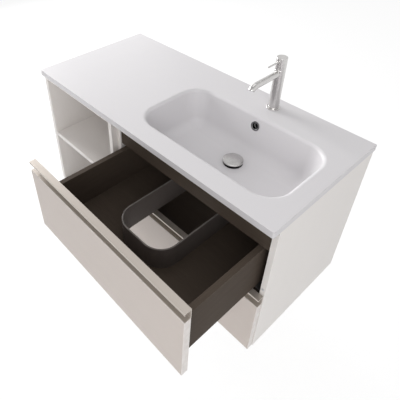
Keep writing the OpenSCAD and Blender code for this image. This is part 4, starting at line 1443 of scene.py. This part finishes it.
@dataclass
class DrawerUnit:
    """The drawer unit's carcass and what holds it. Sizes in millimetres."""

    boards: tuple[Board, ...] = (
        Board("drawer_unit_left_side", Axis.Z), Board("drawer_unit_right_side", Axis.Z),
        Board("drawer_unit_bottom", Axis.X), Board("front_stretcher", Axis.X),
        Board("rear_stretcher", Axis.X), Board("wall_batten", Axis.X),
    )
    bolt_x: float = -316.0
    bolt_ys: Pair = (-380.0, -90.0)
    bolt_zs: Pair = (215.0, -110.0)
    socket_r: float = 2.4
    socket_spans: tuple[Pair, Pair] = ((-4.0, -0.7), (32.7, 36.0))
    buffer_x: float = 292.0
    buffer_y: float = -428.0
    buffer_zs: Pair = (29.0, -219.0)

    def connector_bolts(self) -> None:
        """Sets the four bolts that join the two units, with hexagon sockets in their heads."""
        bolt = lathe(rounded([
            (0, -2, 0), (7, -2, 1.0), (7, 0, 0.2), (3, 0, 0), (3, 32, 0), (7, 32, 0.2),
            (7, 34, 1.0), (0, 34, 0)]), 40)
        sockets = [cylinder(self.socket_r, *span, 6) for span in self.socket_spans]
        places = [((self.bolt_x, y, z), (1.0, 0.0, 0.0))
                  for y in self.bolt_ys for z in self.bolt_zs]
        publish("unit_connector_bolts_set", fasteners(cut(bolt, sockets), places),
                "unit_connector_bolts", Axis.X)

    def buffers(self) -> None:
        """Sets the four soft domes that the fronts close on."""
        dome = lathe([(0, 0), (4, 0), (4, 0.5), (3.7, 0.95), (3.1, 1.35), (2.2, 1.6), (1.1, 1.7),
                      (0, 1.7)], 32)
        places = [((x, self.buffer_y, z), (0.0, -1.0, 0.0))
                  for x in (-self.buffer_x, self.buffer_x) for z in self.buffer_zs]
        publish("front_buffers_set", fasteners(dome, places), "front_buffers")

    def build(self) -> None:
        """Builds the carcass and its fittings."""
        for board in self.boards:
            board.build()
        self.connector_bolts()
        self.buffers()
        dress_copies("folded", {"wall_rails": 0.3, "cabinet_hangers": 0.3}, Axis.X)


@dataclass
class Drawer:
    """A drawer with its front, handle profile, box and runners.

    Attributes:
        name: The first word of its nodes' names.
        back: The node of its back.
    """

    name: str
    back: str

    def build(self) -> None:
        """Builds the drawer."""
        n = self.name
        for board in (
            Board(f"{n}_front_panel", Axis.X, 1.0, 1.0), Board(f"{n}_left_side", Axis.Y, 0.6),
            Board(f"{n}_right_side", Axis.Y, 0.6), Board(self.back, Axis.X, 0.6),
            Board(f"{n}_bottom", Axis.X, 0.4),
        ):
            board.build()
        dress_copies("extruded", {f"{n}_handle_profile": 0.35}, Axis.X, steps=3)
        rails = {f"{n}_{part}_rails": 0.25 for part in ("cabinet", "middle", "drawer")}
        # The runners take steel darkened as painted shade, for the shadowed gap they sit in.
        dress_copies("rolled", rails, Axis.Y, RUNNER_STEEL_PAINTED_SHADE)


@dataclass
class SiphonGuard:
    """The bent band round the siphon cut-out. Sizes in millimetres, at rest."""

    half: float = 92.5
    thick: float = 5.0
    low: float = 36.0
    high: float = 122.0
    back: float = -315.0
    front: float = -604.5
    bend: float = 57.5
    bend_steps: int = 20
    between: Pair = (-400.0, -480.0)
    top_r: float = 2.2
    lit_rim: float = 1.5

    def path(self) -> list[tuple[float, float, float, float]]:
        """Draws the band's middle line.

        Returns:
            X and Y of each point, then the way that points out of the guard there.
        """
        turned_y = self.front + self.bend
        straight = (self.back, *self.between)
        made = [(-self.half, y, -1.0, 0.0) for y in (*straight, turned_y)]
        for side, first in ((-1.0, math.pi), (1.0, 1.5 * math.pi)):
            for i in range(0 if side > 0 else 1, self.bend_steps + 1):
                a = first + QUARTER * i / self.bend_steps
                made.append((side * (self.half - self.bend) + self.bend * math.cos(a),
                             turned_y + self.bend * math.sin(a), math.cos(a), math.sin(a)))
        return made + [(self.half, y, 1.0, 0.0) for y in reversed(straight)]

    def build(self) -> None:
        """Builds the band, with a rounded upper edge."""
        half = self.thick / 2
        section = rounded([(-half, self.low, 0.5), (half, self.low, 0.5),
                           (half, self.high, self.top_r), (-half, self.high, self.top_r)], 6)
        bm = loft([[((x + nx * u) * MM, (y + ny * u) * MM, z * MM) for u, z in section]
                   for x, y, nx, ny in self.path()])
        layer = bm.faces.layers.float.new(EDGE_LAYER)
        for face in bm.faces:
            if face.calc_center_median().z > (self.high - self.lit_rim) * MM:
                face[layer] = 1.0
        publish("siphon_guard_band", bm, "siphon_guard")


# ------------------------------------------------------------------ studio


@dataclass
class SoftLamp:
    """A square soft lamp that faces a point. Metres and watts."""

    name: str
    place: Point
    size: float
    power: float
    target: Point = (-0.2, -0.3, 0.0)

    def build(self) -> None:
        """Hangs the lamp."""
        light = bpy.data.lights.new(self.name, "AREA")
        light.shape = "SQUARE"
        light.size = self.size
        light.energy = self.power
        lamp = placed(self.name, light)
        lamp.location = self.place
        aim = Vector(self.target) - Vector(self.place)
        lamp.rotation_euler = aim.to_track_quat("-Z", "Y").to_euler()


@dataclass
class Studio:
    """The pale floor, the white surroundings, the lamps and the camera. Metres.

    Each sky holds the two heights between which its level changes, then the two levels.
    """

    floor_z: float = -0.57
    floor_half: float = 30.0
    floor_tone: float = 0.86
    floor_glow: float = 1.06
    glow_share: float = 0.8
    lamp_sky: tuple[float, ...] = (0.0, 0.7, 0.0, 0.63)
    mirrored_sky: tuple[float, ...] = (0.3, 0.9, 1.0, 0.5)
    lamps: tuple[SoftLamp, ...] = (
        SoftLamp("key_lamp", (-3.305, -0.3, 0.874), 1.4, 126.0),
        SoftLamp("fill_lamp", (1.898, -2.398, 1.299), 2.0, 38.0),
        SoftLamp("back_lamp", (-2.804, 1.204, 1.194), 1.4, 9.0),
        SoftLamp("top_lamp", (-0.2, 0.256, 3.251), 2.0, 11.0),
    )
    camera_place: Point = (0.59461, -1.05077, 1.00344)
    camera_right: Point = (0.66377483, 0.74787828, -0.00900359)
    camera_down: Point = (0.44891706, -0.40800434, -0.79498801)
    camera_forward: Point = (-0.59822776, 0.52365116, -0.60655833)
    focal_px: float = 430.225
    centre_px: Pair = (155.827, 139.055)
    image_px: float = 400.0
    sensor_mm: float = 36.0
    clip_start: float = 0.02

    def surroundings(self) -> None:
        """Makes the world: white to the camera, soft from above as a lamp."""
        world = bpy.data.worlds.new("white_studio")
        bpy.context.scene.world = world
        world.use_nodes = True
        t = NodeTree(world.node_tree)
        rays = t.add("ShaderNodeLightPath").outputs
        way = t.add("ShaderNodeTexCoord").outputs["Generated"]
        height = t.add("ShaderNodeSeparateXYZ", {0: way}).outputs["Z"]
        level, mirrored = (t.add("ShaderNodeMapRange", {
            "Value": height, "From Min": low, "From Max": high, "To Min": first, "To Max": last,
        }).outputs[0] for low, high, first, last in (self.lamp_sky, self.mirrored_sky))
        for ray, seen in (("Glossy", mirrored), ("Transmission", 1.0), ("Camera", 1.0)):
            level = t.add("ShaderNodeMix", {
                "Factor": rays[f"Is {ray} Ray"], "A": level, "B": seen}).outputs["Result"]
        sky = t.add("ShaderNodeBackground", {"Color": (1.0, 1.0, 1.0), "Strength": level})
        t.add("ShaderNodeOutputWorld", {"Surface": sky.outputs[0]})

    def floor(self) -> None:
        """Lays the pale floor, which shows white where no shadow falls."""
        finish = bpy.data.materials.new("pale_floor")
        finish.use_nodes = True
        t = NodeTree(finish.node_tree)
        rays = t.add("ShaderNodeLightPath").outputs
        matt = t.add("ShaderNodeBsdfDiffuse", {"Color": (self.floor_tone,) * 3})
        glow = t.add("ShaderNodeEmission", {"Strength": self.floor_glow})
        seen = t.math("MAXIMUM", rays["Is Camera Ray"], rays["Is Glossy Ray"])
        both = t.add("ShaderNodeMixShader", {
            0: t.math("MULTIPLY", seen, self.glow_share), 1: matt.outputs[0],
            2: glow.outputs[0]})
        t.add("ShaderNodeOutputMaterial", {"Surface": both.outputs[0]})
        bm = bmesh.new()
        bmesh.ops.create_grid(bm, x_segments=8, y_segments=8, size=self.floor_half)
        bmesh.ops.translate(bm, verts=bm.verts, vec=(0, 0, self.floor_z))
        mesh = as_data(bm)
        mesh.materials.append(finish)
        placed("studio_floor", mesh)

    def camera(self) -> None:
        """Sets the camera at the photograph's viewing angle."""
        data = bpy.data.cameras.new("photo_camera")
        data.sensor_width = self.sensor_mm
        data.lens = self.focal_px / self.image_px * self.sensor_mm
        data.shift_x = (self.image_px / 2 - self.centre_px[0]) / self.image_px
        data.shift_y = (self.centre_px[1] - self.image_px / 2) / self.image_px
        data.clip_start = self.clip_start
        holder = placed("photo_camera", data)
        axes = Matrix((Vector(self.camera_right), -Vector(self.camera_down),
                       -Vector(self.camera_forward))).transposed()
        holder.matrix_world = Matrix.Translation(Vector(self.camera_place)) @ axes.to_4x4()
        bpy.context.scene.camera = holder

    def build(self) -> None:
        """Sets up the studio."""
        bpy.context.scene.view_settings.view_transform = "Standard"
        self.surroundings()
        self.floor()
        for lamp in self.lamps:
            lamp.build()
        self.camera()


def main() -> None:
    """Builds the studio and every sub-assembly in order."""
    logging.basicConfig(level=logging.INFO, format="%(name)s: %(message)s")
    top = WashbasinTop()
    for assembly in (
        Studio(), top, OverflowFittings(top), WasteAndTrap(), Mixer(), OpenShelfUnit(),
        DrawerUnit(), Drawer("upper", "upper_back_pieces"), Drawer("lower", "lower_back"),
        SiphonGuard(),
    ):
        assembly.build()


if __name__ == "__main__":
    main()
